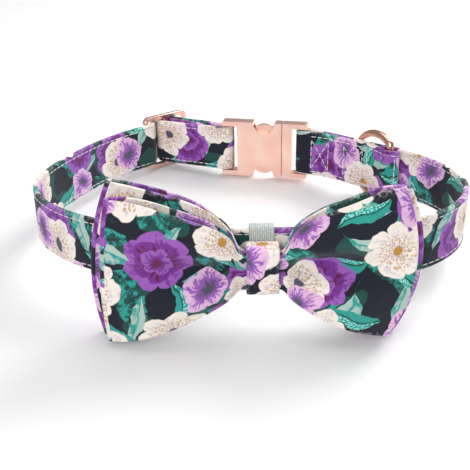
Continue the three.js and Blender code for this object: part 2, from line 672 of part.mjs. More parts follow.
// The loop leans back on its fittings, and its box stands centred over the origin.
loop.rotation.x = LOOP_LEAN;
const collar = new THREE.Group();
collar.add(loop);
collar.updateMatrixWorld(true);
const bounds = new THREE.Box3().setFromObject(collar, true);
const middle = bounds.getCenter(new THREE.Vector3());
collar.position.set(-middle.x, -middle.y, -bounds.min.z);

export default collar;
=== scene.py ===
"""Pet bow tie collar: a flowered strap with a layered bow, rose gold buckle, slide and leash ring.

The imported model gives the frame. Every piece is rebuilt here in finer detail, in millimetres
in the loop's own frame, and then stood up with the loop.
"""

import logging
import math
from dataclasses import dataclass, field
from enum import Enum
from typing import Callable

import bmesh
import bpy
from mathutils import Matrix, Vector, noise


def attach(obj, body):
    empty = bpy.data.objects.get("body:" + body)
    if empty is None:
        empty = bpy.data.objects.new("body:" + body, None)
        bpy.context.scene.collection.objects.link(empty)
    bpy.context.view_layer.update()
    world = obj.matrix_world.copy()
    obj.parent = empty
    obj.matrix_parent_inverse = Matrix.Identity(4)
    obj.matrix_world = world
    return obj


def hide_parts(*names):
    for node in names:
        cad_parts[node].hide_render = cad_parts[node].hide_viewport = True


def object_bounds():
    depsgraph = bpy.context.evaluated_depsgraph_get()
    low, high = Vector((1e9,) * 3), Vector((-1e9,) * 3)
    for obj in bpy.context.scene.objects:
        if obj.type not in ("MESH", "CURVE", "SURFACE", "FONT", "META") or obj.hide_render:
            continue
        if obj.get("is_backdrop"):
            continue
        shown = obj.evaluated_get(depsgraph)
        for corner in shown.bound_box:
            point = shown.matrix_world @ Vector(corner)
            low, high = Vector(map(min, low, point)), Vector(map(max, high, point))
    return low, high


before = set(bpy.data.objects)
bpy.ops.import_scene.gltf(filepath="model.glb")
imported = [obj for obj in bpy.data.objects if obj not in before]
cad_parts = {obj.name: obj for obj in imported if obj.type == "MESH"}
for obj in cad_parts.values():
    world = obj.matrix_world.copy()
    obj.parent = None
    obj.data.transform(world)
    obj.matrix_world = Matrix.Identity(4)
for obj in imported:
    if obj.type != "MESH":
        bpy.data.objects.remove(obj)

Mesh = bmesh.types.BMesh
Pair = tuple[float, float]
Triple = tuple[float, float, float]
LOG = logging.getLogger("collar")
MM = 0.001
FLAT_UV = "flat"
RUB = "rub"


class Body(Enum):
    """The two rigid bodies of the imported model."""

    COLLAR = "collar"
    RING = "ring"


class Side(Enum):
    """Left and right as seen from in front of the bow."""

    LEFT = -1
    RIGHT = 1


class Slot(Enum):
    """The record's material slots."""

    PRINTED_CLOTH = "printed_cloth"
    PALE_ELASTIC = "pale_elastic"
    ROSE_GOLD = "rose_gold"
    COPPER_GOLD = "copper_gold"


@dataclass(frozen=True)
class LoopPlace:
    """How the loop's plan, drawn flat in millimetres, stands on the floor."""

    x: float = -5.4143
    y: float = -20.518
    z: float = 10.5403
    lean_deg: float = -4.88

    def matrix(self) -> Matrix:
        """Return the matrix from the loop's millimetres to the frame's metres."""
        move = Matrix.Translation(Vector((self.x, self.y, self.z)) * MM)
        return move @ Matrix.Rotation(math.radians(self.lean_deg), 4, "X") @ Matrix.Scale(MM, 4)


LOOP = LoopPlace().matrix()


@dataclass(frozen=True)
class PlanPlace:
    """A place on the plan with a direction: u runs along it and w out of the loop."""

    x: float
    y: float
    angle_deg: float

    @property
    def centre(self) -> Vector:
        """Return the place itself."""
        return Vector((self.x, self.y))

    def at(self, u: float, w: float) -> Vector:
        """Return the plan point at u along the place's direction and w across it.

        Args:
            u: millimetres along.
            w: millimetres across, out of the loop.

        Returns:
            The point.
        """
        turn = math.radians(self.angle_deg)
        cos, sin = math.cos(turn), math.sin(turn)
        return self.centre + Vector((u * cos - w * sin, u * sin + w * cos))

    def matrix(self, height: float) -> Matrix:
        """Return the matrix from the place's own axes to the loop's.

        Args:
            height: the place's height over the strap's lower edge.

        Returns:
            A matrix that takes x along u, y along w and z up.
        """
        return Matrix.Translation((self.x, self.y, height)) @ Matrix.Rotation(math.radians(self.angle_deg), 4, "Z")


# Lines on the plan

Line = list[Vector]
Profile = list[Pair]


def on_circle(centre: Vector, radius: float, angle: float) -> Vector:
    """Return the point of a circle at an angle in radians."""
    return Vector((centre.x + radius * math.cos(angle), centre.y + radius * math.sin(angle)))


def angle_of(line: Vector) -> float:
    """Return the direction of a vector in radians."""
    return math.atan2(line.y, line.x)


def tangent(start: Vector, start_radius: float, end: Vector, end_radius: float, side: int) -> float:
    """Find the line that touches two circles.

    Args:
        start: the first circle's centre.
        start_radius: its radius.
        end: the second circle's centre.
        end_radius: its radius, negative where the line crosses over between the circles.
        side: -1 for the right of the course and 1 for its left.

    Returns:
        The angle of the touching point as seen from the first centre.
    """
    line = end - start
    return angle_of(line) + side * math.acos((start_radius - end_radius) / line.length)


def arc(centre: Vector, radius: float, start: float, end: float, clockwise: bool = False, steps: int = 24) -> Line:
    """Return points on an arc from one angle to another, turning the way asked for.

    Args:
        centre: the circle's centre.
        radius: its radius.
        start: the first angle, in radians.
        end: the last angle.
        clockwise: which way it turns.
        steps: how many spans it has.

    Returns:
        The points.
    """
    turn = (end - start) % math.tau
    if clockwise:
        turn -= math.tau
    return [on_circle(centre, radius, start + turn * i / steps) for i in range(steps + 1)]


def spline_value(before: float, start: float, end: float, after: float, part: float) -> float:
    """Return a Catmull-Rom curve's value part of the way from start to end.

    Args:
        before: the value before the start.
        start: the value at 0.
        end: the value at 1.
        after: the value after the end.
        part: how far along, 0 to 1.

    Returns:
        The value.
    """
    out = (end - before) / 2
    into = (after - start) / 2
    cubic = 2 * start - 2 * end + out + into
    square = -3 * start + 3 * end - 2 * out - into
    return ((cubic * part + square) * part + out) * part + start


def along_values(values: list[float], part: float) -> float:
    """Return the smooth value part of the way through a row of values.

    Args:
        values: the row, evenly spaced.
        part: how far along the row, 0 to 1.

    Returns:
        The value.
    """
    place = (len(values) - 1) * part
    i = min(int(place), len(values) - 2)
    after = values[min(i + 2, len(values) - 1)]
    return spline_value(values[max(i - 1, 0)], values[i], values[i + 1], after, place - i)


def spline_through(points: Line, steps: int = 16) -> Line:
    """Return a smooth line through points, with steps to each span.

    Args:
        points: what the line goes through.
        steps: how many steps each span has.

    Returns:
        The line.
    """
    count = steps * (len(points) - 1)
    xs = [point.x for point in points]
    ys = [point.y for point in points]
    return [Vector((along_values(xs, i / count), along_values(ys, i / count))) for i in range(count + 1)]


def lengths_of(line: Line) -> list[float]:
    """Return each point's distance along the line.

    Args:
        line: the points.

    Returns:
        The distances, from 0.
    """
    lengths = [0.0]
    for before, point in zip(line, line[1:]):
        lengths.append(lengths[-1] + (point - before).length)
    return lengths


def even(line: Line, step: float) -> Line:
    """Return the line with points a step apart, ends included.

    Args:
        line: the points.
        step: about how far apart the new points are.

    Returns:
        The new line.
    """
    lengths = lengths_of(line)
    count = max(2, round(lengths[-1] / step))
    points = []
    i = 0
    for k in range(count + 1):
        wanted = lengths[-1] * k / count
        while i < len(lengths) - 2 and lengths[i + 1] < wanted:
            i += 1
        part = (wanted - lengths[i]) / max(lengths[i + 1] - lengths[i], 1e-9)
        points.append(line[i].lerp(line[i + 1], part))
    return points


def right_normals(line: Line) -> Line:
    """Return unit normals on the right-hand side, which is the loop's inside.

    Args:
        line: the points.

    Returns:
        A normal for each point.
    """
    last = len(line) - 1
    normals = []
    for i in range(len(line)):
        ahead = (line[min(i + 1, last)] - line[max(i - 1, 0)]).normalized()
        normals.append(Vector((ahead.y, -ahead.x)))
    return normals


def offset(line: Line, distance: Callable[[int], float]) -> Line:
    """Return the line moved to its right by a distance worked out for each point."""
    normals = right_normals(line)
    return [point + normals[i] * distance(i) for i, point in enumerate(line)]


def smooth(value: float, low: float, high: float) -> float:
    """Return 0 below low and 1 above high, with a smooth step between them."""
    part = min(max((value - low) / (high - low), 0.0), 1.0)
    return part * part * (3 - 2 * part)


def rounded_rectangle(width: float, height: float, radius: float, corner_steps: int = 4, x: float = 0.0) -> Profile:
    """Return a rounded rectangle's outline, anticlockwise round a centre at x.

    Args:
        width: its width.
        height: its height.
        radius: its corners' radius.
        corner_steps: how many spans a corner has.
        x: where its centre lies.

    Returns:
        The outline.
    """
    outline = []
    for quarter, (sx, sy) in enumerate(((1, 1), (-1, 1), (-1, -1), (1, -1))):
        centre = Vector((x + sx * (width / 2 - radius), sy * (height / 2 - radius)))
        for step in range(corner_steps + 1):
            point = on_circle(centre, radius, math.pi / 2 * (quarter + step / corner_steps))
            outline.append((point.x, point.y))
    return outline


# Meshes


@dataclass
class Station:
    """One place of a sweep, where a profile is drawn on the side and up directions."""

    place: Vector
    side: Vector
    up: Vector
    along: float


def swept(
    stations: list[Station],
    profile_at: Callable[[int], Profile],
    ring: bool = False,
    shift: Pair = (0.0, 0.0),
    rub_at: Callable[[int], float] | None = None,
) -> Mesh:
    """Sweep a closed profile through the stations.

    Args:
        stations: the places of the sweep, in millimetres in the loop's frame.
        profile_at: gives a station's profile, always with the same number of points.
        ring: whether the last station joins the first.
        shift: where on the print the sweep starts, in millimetres.
        rub_at: gives how rubbed a profile's point is, from 0 to 1.

    Returns:
        A closed mesh with its flat cloth coordinates, in metres.
    """
    count = len(profile_at(0))
    spans = len(stations) if ring else len(stations) - 1
    bm = bmesh.new()
    flat = bm.loops.layers.uv.new(FLAT_UV)
    rub = bm.verts.layers.float.new(RUB)
    bmesh.ops.create_grid(bm, x_segments=spans, y_segments=count, size=0.5, calc_uvs=True)
    first = profile_at(0)
    edge = [0.0]
    for j in range(count):
        edge.append(edge[-1] + math.dist(first[j], first[(j + 1) % count]))
    step = (stations[1].place - stations[0].place).length
    alongs = [station.along for station in stations] + [stations[-1].along + step]
    for face in bm.faces:
        for corner in face.loops:
            i = round(corner[flat].uv.x * spans)
            j = round(corner[flat].uv.y * count)
            corner[flat].uv = ((alongs[i] + shift[0]) * MM, (edge[j] + shift[1]) * MM)
    profiles = [profile_at(i) for i in range(len(stations))]
    for vert in bm.verts:
        i = round((vert.co.x + 0.5) * spans) % len(stations)
        j = round((vert.co.y + 0.5) * count) % count
        station = stations[i]
        across, over = profiles[i][j]
        vert.co = station.place + station.side * across + station.up * over
        vert[rub] = rub_at(j) if rub_at else 0.0
    bmesh.ops.remove_doubles(bm, verts=bm.verts, dist=1e-4)
    if not ring:
        rims = [edge for edge in bm.edges if edge.is_boundary]
        bmesh.ops.holes_fill(bm, edges=rims, sides=0)
    bmesh.ops.recalc_face_normals(bm, faces=bm.faces)
    return bm


def as_object(bm: Mesh, name: str) -> bpy.types.Object:
    """Put a mesh into the scene.

    Args:
        bm: the mesh; it is freed.
        name: the name of the object.

    Returns:
        The object.
    """
    mesh = bpy.data.meshes.new(name)
    bm.to_mesh(mesh)
    bm.free()
    made = bpy.data.objects.new(name, mesh)
    bpy.context.scene.collection.objects.link(made)
    return made


def as_piece(
    bm: Mesh,
    name: str,
    material: bpy.types.Material,
    body: Body,
    replaced: tuple[str, ...] = (),
    matrix: Matrix | None = None,
) -> bpy.types.Object:
    """Stand a mesh up with the loop and hand it to the frame as a piece.

    Args:
        bm: the mesh, in millimetres; it is freed.
        name: the piece's name.
        material: what it is finished in.
        body: the body that it rides on.
        replaced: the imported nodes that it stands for.
        matrix: from the mesh's own axes to the loop's.

    Returns:
        The piece's object.
    """
    bmesh.ops.transform(bm, matrix=LOOP @ (matrix or Matrix()), verts=bm.verts)
    for face in bm.faces:
        face.smooth = True
    piece = as_object(bm, name)
    piece.data.materials.append(material)
    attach(piece, body.value)
    if replaced:
        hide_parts(*replaced)
    LOG.info("%s: %d faces", name, len(piece.data.polygons))
    return piece


def bevelled(piece: bpy.types.Object, width: float, segments: int, limit_deg: float = 35.0) -> None:
    """Round a piece's edges, with the width in millimetres.

    Args:
        piece: the piece.
        width: how wide the rounding is.
        segments: how many faces cross it.
        limit_deg: the least angle between faces that is rounded.
    """
    modifier = piece.modifiers.new("rounding", "BEVEL")
    modifier.width = width * MM
    modifier.segments = segments
    modifier.limit_method = "ANGLE"
    modifier.angle_limit = math.radians(limit_deg)
    modifier.harden_normals = True


def plate(outline: Profile, thickness: float) -> Mesh:
    """Return a plate on edge: its outline in length and height, its thickness across.

    Args:
        outline: the plate's outline.
        thickness: its thickness.

    Returns:
        The plate's mesh.
    """
    bm = bmesh.new()
    verts = [bm.verts.new((x, -thickness / 2, z)) for x, z in outline]
    face = bm.faces.new(verts)
    raised = bmesh.ops.extrude_face_region(bm, geom=[face])
    moved = [item for item in raised["geom"] if isinstance(item, bmesh.types.BMVert)]
    bmesh.ops.translate(bm, vec=(0, thickness, 0), verts=moved)
    bmesh.ops.recalc_face_normals(bm, faces=bm.faces)
    return bm


def block(size: Triple, centre: Triple) -> Mesh:
    """Return a plain block, used to cut recesses.

    Args:
        size: its three sizes.
        centre: where its middle lies.

    Returns:
        The block's mesh.
    """
    bm = bmesh.new()
    bmesh.ops.create_cube(bm, size=1.0, matrix=Matrix.Translation(centre) @ Matrix.Diagonal((*size, 1)))
    return bm


class Cut(Enum):
    """How two solids are joined."""

    TAKE_AWAY = "DIFFERENCE"
    ADD = "UNION"


def combined(base: Mesh, steps: list[tuple[Cut, Mesh]]) -> Mesh:
    """Cut solids out of a base or add them to it.

    Args:
        base: the first solid; it is freed.
        steps: how each further solid is joined, and the solid, which is freed.

    Returns:
        The one solid that is left, with doubled points merged.
    """
    objects = [as_object(solid, "work") for solid in [base] + [tool for _, tool in steps]]
    for (cut, _), tool in zip(steps, objects[1:]):
        modifier = objects[0].modifiers.new("joint", "BOOLEAN")
        modifier.operation = cut.value
        modifier.solver = "EXACT"
        modifier.object = tool
    bpy.context.view_layer.update()
    result = bmesh.new()
    result.from_object(objects[0], bpy.context.evaluated_depsgraph_get())
    bmesh.ops.remove_doubles(result, verts=result.verts, dist=1e-4)
    bmesh.ops.dissolve_limit(result, angle_limit=math.radians(0.5), verts=result.verts, edges=result.edges)
    for work in objects:
        mesh = work.data
        bpy.data.objects.remove(work)
        bpy.data.meshes.remove(mesh)
    return result


# Materials

Socket = bpy.types.NodeSocket


class Ink(Enum):
    """The print's and the fittings' colours, as a painter would mix them."""

    NIGHT = "1a1e2b"
    FOREST = "1f4a44"
    TEAL = "2f9a90"
    SEAFOAM = "93dcd3"
    SAGE = "a9c2ba"
    CREAM = "f0e6dc"
    BLUSH = "dcd0d4"
    OCHRE = "b4883c"
    PURPLE = "753390"
    LILAC = "985cb3"
    WINE = "651a45"
    PINK = "e2b9db"
    SLATE = "50505f"
    THREAD = "f4f1f0"
    LINT = "e9e6e4"

    @property
    def rgba(self) -> tuple[float, float, float, float]:
        """Return the colour in linear light.

        Returns:
            Red, green, blue and alpha.
        """
        parts = [int(self.value[i : i + 2], 16) / 255 for i in (0, 2, 4)]
        linear = [part / 12.92 if part <= 0.04045 else ((part + 0.055) / 1.055) ** 2.4 for part in parts]
        return (*linear, 1.0)


Value = float | tuple | Socket | Ink


class Recipe:
    """A material's nodes, with short ways to add and join them."""

    def __init__(self, name: str) -> None:
        """Start a material with a Principled shader.

        Args:
            name: the material's name.
        """
        self.material = bpy.data.materials.new(name)
        self.material.use_nodes = True
        self.tree = self.material.node_tree
        self.tree.nodes.clear()
        output = self.node("ShaderNodeOutputMaterial")
        self.shader = self.node("ShaderNodeBsdfPrincipled")
        self.tree.links.new(self.shader.outputs[0], output.inputs["Surface"])

    def node(self, kind: str, **settings: object) -> bpy.types.Node:
        """Add a node and set its properties.

        Args:
            kind: the node's type.
            settings: its properties.

        Returns:
            The node.
        """
        made = self.tree.nodes.new(kind)
        for name, value in settings.items():
            setattr(made, name, value)
        return made

    def put(self, socket: Socket, value: Value) -> None:
        """Join a socket to another one, or set its value.

        Args:
            socket: the socket.
            value: what it takes.
        """
        if isinstance(value, Socket):
            self.tree.links.new(value, socket)
        else:
            socket.default_value = value.rgba if isinstance(value, Ink) else value

    def set(self, **inputs: Value) -> None:
        """Set the shader's inputs, named with underscores for spaces."""
        for name, value in inputs.items():
            self.put(self.shader.inputs[name.replace("_", " ")], value)

    def math(self, operation: str, *values: Value) -> Socket:
        """Return the result of a sum on numbers.

        Args:
            operation: what is done.
            values: the numbers or sockets.

        Returns:
            The result's socket.
        """
        made = self.node("ShaderNodeMath", operation=operation)
        for socket, value in zip(made.inputs, values):
            self.put(socket, value)
        return made.outputs[0]

    def times(self, first: Value, second: Value) -> Socket:
        """Return one number times another."""
        return self.math("MULTIPLY", first, second)

    def linear(self, value: Value, slope: float, start: Value) -> Socket:
        """Return a number times a slope, plus a start."""
        return self.math("MULTIPLY_ADD", value, slope, start)

    def sine(self, value: Value, pace: float) -> Socket:
        """Return the sine of a number times a pace."""
        return self.math("SINE", self.times(value, pace))

    def vector(self, operation: str, *values: Value) -> Socket:
        """Return the result of a sum on vectors.

        Args:
            operation: what is done.
            values: the vectors or sockets.

        Returns:
            The result's socket.
        """
        made = self.node("ShaderNodeVectorMath", operation=operation)
        for socket, value in zip(made.inputs, values):
            self.put(socket, value)
        return made.outputs["Value"] if operation in ("LENGTH", "DOT_PRODUCT") else made.outputs["Vector"]

    def scaled(self, vector: Value, factor: float) -> Socket:
        """Return a vector times a number.

        Args:
            vector: the vector.
            factor: the number.

        Returns:
            The result's socket.
        """
        made = self.node("ShaderNodeVectorMath", operation="SCALE")
        self.put(made.inputs[0], vector)
        made.inputs["Scale"].default_value = factor
        return made.outputs[0]

    def step(self, value: Value, low: Value, high: Value) -> Socket:
        """Return 0 where the value is at low and 1 where it is at high, smooth between.

        Args:
            value: what is measured.
            low: where the step starts.
            high: where it ends.

        Returns:
            The result's socket.
        """
        made = self.node("ShaderNodeMapRange", interpolation_type="SMOOTHSTEP")
        self.put(made.inputs[0], value)
        self.put(made.inputs[1], low)
        self.put(made.inputs[2], high)
        return made.outputs[0]

    def mix(self, factor: Value, first: Value, second: Value, blend: str = "MIX") -> Socket:
        """Return a colour mixed from two.

        Args:
            factor: the second colour's share.
            first: the first colour.
            second: the second colour.
            blend: how they are mixed.

        Returns:
            The result's socket.
        """
        made = self.node("ShaderNodeMix", data_type="RGBA", blend_type=blend)
        self.put(made.inputs[0], factor)
        self.put(made.inputs[6], first)
        self.put(made.inputs[7], second)
        return made.outputs[2]

    def noise(self, vector: Value, scale: float, detail: float = 2.0, rough: float = 0.5) -> bpy.types.Node:
        """Return a noise node on a vector.

        Args:
            vector: the coordinates.
            scale: its scale.
            detail: how many finer layers it has.
            rough: how strong those are.

        Returns:
            The node.
        """
        made = self.node("ShaderNodeTexNoise")
        self.put(made.inputs["Vector"], vector)
        made.inputs["Scale"].default_value = scale
        made.inputs["Detail"].default_value = detail
        made.inputs["Roughness"].default_value = rough
        return made

    def cells(self, vector: Value, scale: float, spread: float) -> bpy.types.Node:
        """Return a node that scatters points, with each point's place and its chance colour.

        Args:
            vector: the coordinates.
            scale: its scale.
            spread: how far points leave the grid.

        Returns:
            The node.
        """
        made = self.node("ShaderNodeTexVoronoi", voronoi_dimensions="2D", feature="F1")
        self.put(made.inputs["Vector"], vector)
        made.inputs["Scale"].default_value = scale
        made.inputs["Randomness"].default_value = spread
        return made

    def parts(self, vector: Value) -> tuple[Socket, ...]:
        """Return a vector's three numbers.

        Args:
            vector: the vector.

        Returns:
            Their sockets.
        """
        made = self.node("ShaderNodeSeparateXYZ")
        self.put(made.inputs[0], vector)
        return tuple(made.outputs)

    def flat(self) -> Socket:
        """Return the cloth's own flat coordinates, in metres."""
        return self.node("ShaderNodeUVMap", uv_map=FLAT_UV).outputs[0]

    def place(self) -> Socket:
        """Return the piece's object coordinates."""
        return self.node("ShaderNodeTexCoord").outputs["Object"]

    def bump(
        self, height: Value, distance: float, strength: float = 1.0, under: Value | None = None
    ) -> Socket:
        """Return a normal raised by a height, in metres.

        Args:
            height: the height's pattern.
            distance: how high it is.
            strength: how much it shows.
            under: the normal that it is laid on.

        Returns:
            The normal's socket.
        """
        made = self.node("ShaderNodeBump")
        self.put(made.inputs["Height"], height)
        made.inputs["Distance"].default_value = distance
        made.inputs["Strength"].default_value = strength
        if under is not None:
            self.put(made.inputs["Normal"], under)
        return made.outputs[0]


@dataclass(frozen=True)
class Scatter:
    """A loose grid of one motif: its cell in millimetres, its turn, its start and its share of cells."""

    cell: float
    turn_deg: float
    start: Pair
    spread: float
    share: float


@dataclass
class Motif:
    """Where one layer's motifs lie: places round the nearest one, in cells, and its three chances."""

    x: Socket
    y: Socket
    radius: Socket
    angle: Socket
    chances: tuple[Socket, ...]
    present: Socket


@dataclass(frozen=True)
class Ring:
    """One ring of a flower's petals: how many, how far out in cells, how deeply cut, its turn and its two inks."""

    count: int
    reach: float
    depth: float
    turn: float
    deep: Ink
    light: Ink


@dataclass(frozen=True)
class FlowerPrint:
    """The printed flowers: layers of leaves and blossoms over a dark ground, on the flat cloth."""

    fronds: Scatter = Scatter(24.0, -37, (1.7, 4.9), 0.5, 0.6)
    leaves: Scatter = Scatter(20.0, 24, (3.3, 7.1), 0.5, 0.9)
    pale_leaves: Scatter = Scatter(21.0, 61, (9.2, 2.6), 0.5, 0.75)
    peonies: Scatter = Scatter(30.0, 13, (5.4, 8.8), 0.4, 0.8)
    blossoms: Scatter = Scatter(25.0, -19, (2.2, 6.3), 0.4, 0.82)
    asters: Scatter = Scatter(26.0, 47, (7.7, 1.2), 0.4, 0.6)
    frond_size: Pair = (0.48, 0.24)
    leaf_size: Pair = (0.46, 0.16)
    pale_leaf_size: Pair = (0.44, 0.13)
    leaf_edge: Pair = (1.04, 0.96)
    leaf_curve: float = 2.2
    leaf_bow: float = 0.45
    leaf_taper: float = 1.8
    least_room: float = 0.001
    rib_edge: Pair = (0.12, 0.05)
    half_edge: Pair = (-0.004, 0.004)
    vein_pace: float = 26.0
    vein_edge: Pair = (0.22, 0.1)
    vein_ink: float = 0.6
    leaf_speck_edge: Pair = (0.42, 0.3)
    petal_round: float = 0.5
    petal_edge: Pair = (1.02, 0.98)
    stroke_round: float = 4.0
    stroke_reach: float = 7.0
    stroke_scale: float = 1.6
    shade_slope: float = 0.42
    shade_start: float = -0.3
    shade_edge: Pair = (0.4, 0.56)
    ray_pace: float = 5.5
    ray_edge: Pair = (0.28, 0.12)
    ray_reach: Pair = (0.24, 0.2)
    ray_ink: float = 0.75
    pollen_edge: Pair = (0.34, 0.24)
    pollen_reach: Pair = (0.29, 0.25)
    pollen_ink: float = 0.7
    heart_edge: Pair = (0.085, 0.065)
    heart_choice: Pair = (0.5, 0.52)
    wide_waver: float = 5.0
    fine_waver: float = 0.9
    ground_edge: Pair = (0.56, 0.58)
    frond_brush: Pair = (0.46, 0.58)
    pale_brush: Pair = (0.4, 0.6)
    peony_rings: tuple[Ring, ...] = (
        Ring(7, 0.37, 0.22, 0.0, Ink.PURPLE, Ink.LILAC),
        Ring(5, 0.27, 0.26, 0.9, Ink.WINE, Ink.PURPLE),
        Ring(5, 0.18, 0.3, 0.3, Ink.PURPLE, Ink.LILAC),
        Ring(3, 0.1, 0.34, 1.4, Ink.WINE, Ink.PURPLE),
    )
    blossom_rings: tuple[Ring, ...] = (
        Ring(6, 0.4, 0.24, 0.0, Ink.BLUSH, Ink.CREAM),
        Ring(5, 0.25, 0.24, 0.8, Ink.BLUSH, Ink.CREAM),
    )
    aster_rings: tuple[Ring, ...] = (
        Ring(5, 0.29, 0.2, 0.0, Ink.LILAC, Ink.PINK),
        Ring(4, 0.13, 0.24, 0.5, Ink.SLATE, Ink.LILAC),
    )

    def motif(self, recipe: Recipe, sheet: Value, layer: Scatter) -> Motif:
        """Find the nearest motif of a layer.

        Args:
            recipe: the material.
            sheet: the cloth's coordinates, in millimetres.
            layer: the layer's grid.

        Returns:
            The place within the motif, turned by chance, and its chances.
        """
        turned = recipe.node("ShaderNodeMapping")
        recipe.put(turned.inputs["Vector"], sheet)
        turned.inputs["Location"].default_value = (*layer.start, 0)
        turned.inputs["Rotation"].default_value = (0, 0, math.radians(layer.turn_deg))
        turned.inputs["Scale"].default_value = (1 / layer.cell, 1 / layer.cell, 0)
        cells = recipe.cells(turned.outputs[0], 1.0, layer.spread)
        chances = recipe.parts(cells.outputs["Color"])
        away = recipe.vector("SUBTRACT", turned.outputs[0], cells.outputs["Position"])
        x, y, _ = recipe.parts(away)
        radius = recipe.vector("LENGTH", away)
        angle = recipe.math("ADD", recipe.math("ARCTAN2", y, x), recipe.times(chances[0], math.tau))
        return Motif(
            recipe.times(radius, recipe.math("COSINE", angle)),
            recipe.times(radius, recipe.math("SINE", angle)),
            radius,
            angle,
            chances,
            recipe.math("LESS_THAN", chances[1], layer.share),
        )

    def petals(self, recipe: Recipe, motif: Motif, ring: Ring) -> Value:
        """Return how far out in a ring of petals a place lies, with 1 on its scalloped edge.

        Args:
            recipe: the material.
            motif: where the layer's motifs lie.
            ring: the ring of petals.

        Returns:
            The result's socket.
        """
        turn = recipe.linear(motif.angle, ring.count / 2, ring.turn)
        scallop = recipe.math("POWER", recipe.math("ABSOLUTE", recipe.math("COSINE", turn)), self.petal_round)
        edge = recipe.linear(scallop, ring.reach * ring.depth, ring.reach * (1 - ring.depth))
        return recipe.math("DIVIDE", motif.radius, edge)

    def inside(self, recipe: Recipe, share: Value, motif: Motif) -> Value:
        """Return 1 inside a motif's edge and 0 outside it, where the motif is present."""
        return recipe.times(recipe.step(share, *self.petal_edge), motif.present)

    def strokes(self, recipe: Recipe, motif: Motif) -> Value:
        """Return brush strokes that run out from a flower's middle, from 0 to 1.

        Args:
            recipe: the material.
            motif: where the layer's motifs lie.

        Returns:
            The result's socket.
        """
        polar = recipe.node("ShaderNodeCombineXYZ")
        recipe.put(polar.inputs[0], recipe.times(recipe.math("COSINE", motif.angle), self.stroke_round))
        recipe.put(polar.inputs[1], recipe.times(recipe.math("SINE", motif.angle), self.stroke_round))
        recipe.put(polar.inputs[2], recipe.linear(motif.radius, self.stroke_reach, motif.chances[2]))
        return recipe.noise(polar.outputs[0], self.stroke_scale, 2.0, 0.6).outputs[0]

    def flower(self, recipe: Recipe, motif: Motif, rings: tuple[Ring, ...], colour: Value) -> Value:
        """Return the colour with a flower's rings of petals printed over it, the outer ring first.

        Args:
            recipe: the material.
            motif: where the flowers lie.
            rings: the rings of petals.
            colour: what lies under the flowers.

        Returns:
            The colour's socket.
        """
        strokes = self.strokes(recipe, motif)
        for ring in rings:
            share = self.petals(recipe, motif, ring)
            shade = recipe.math("ADD", strokes, recipe.linear(share, self.shade_slope, self.shade_start))
            tone = recipe.mix(recipe.step(shade, *self.shade_edge), ring.deep, ring.light)
            colour = recipe.mix(self.inside(recipe, share, motif), colour, tone)
        return colour

    def leaf(self, recipe: Recipe, motif: Motif, length: float, width: float) -> tuple[Value, Value, Value]:
        """Return a pointed leaf's cover, its half on one side of the rib, and the rib.

        Args:
            recipe: the material.
            motif: where the layer's motifs lie.
            length: half its length, in cells.
            width: half its width, in cells.

        Returns:
            The three sockets, each from 0 to 1.
        """
        run = recipe.math("DIVIDE", motif.x, length)
        bow = recipe.times(recipe.sine(run, self.leaf_curve), width * self.leaf_bow)
        over = recipe.math("ADD", motif.y, bow)
        taper = recipe.math("SUBTRACT", 1.0, recipe.math("POWER", recipe.math("ABSOLUTE", run), self.leaf_taper))
        room = recipe.math("MAXIMUM", recipe.times(taper, width), self.least_room)
        share = recipe.math("DIVIDE", recipe.math("ABSOLUTE", over), room)
        cover = recipe.times(recipe.step(share, *self.leaf_edge), motif.present)
        rib = recipe.step(recipe.math("ABSOLUTE", over), width * self.rib_edge[0], width * self.rib_edge[1])
        return cover, recipe.step(over, *self.half_edge), rib

    def colour(self, recipe: Recipe, sheet: Value) -> Value:
        """Return the print's colour.

        Args:
            recipe: the material.
            sheet: the cloth's coordinates, in millimetres.

        Returns:
            The colour's socket.
        """
        brush = recipe.noise(sheet, 0.35, 3.0, 0.6).outputs[0]
        wash = recipe.noise(sheet, 0.07, 1.0).outputs[0]
        wide = recipe.vector("SUBTRACT", recipe.noise(sheet, 0.11, 0.0).outputs[1], (0.5, 0.5, 0.5))
        fine = recipe.vector("SUBTRACT", recipe.noise(sheet, 0.5, 0.0).outputs[1], (0.5, 0.5, 0.5))
        drawn = recipe.vector("ADD", sheet, recipe.scaled(wide, self.wide_waver))
        drawn = recipe.vector("ADD", drawn, recipe.scaled(fine, self.fine_waver))
        colour = recipe.mix(recipe.step(wash, *self.ground_edge), Ink.NIGHT, Ink.FOREST)
        colour = self.foliage(recipe, drawn, brush, colour)
        colour = self.flower(recipe, self.motif(recipe, drawn, self.peonies), self.peony_rings, colour)
        blossom = self.motif(recipe, drawn, self.blossoms)
        colour = self.flower(recipe, blossom, self.blossom_rings, colour)
        colour = self.stamens(recipe, drawn, blossom, colour)
        return self.flower(recipe, self.motif(recipe, drawn, self.asters), self.aster_rings, colour)

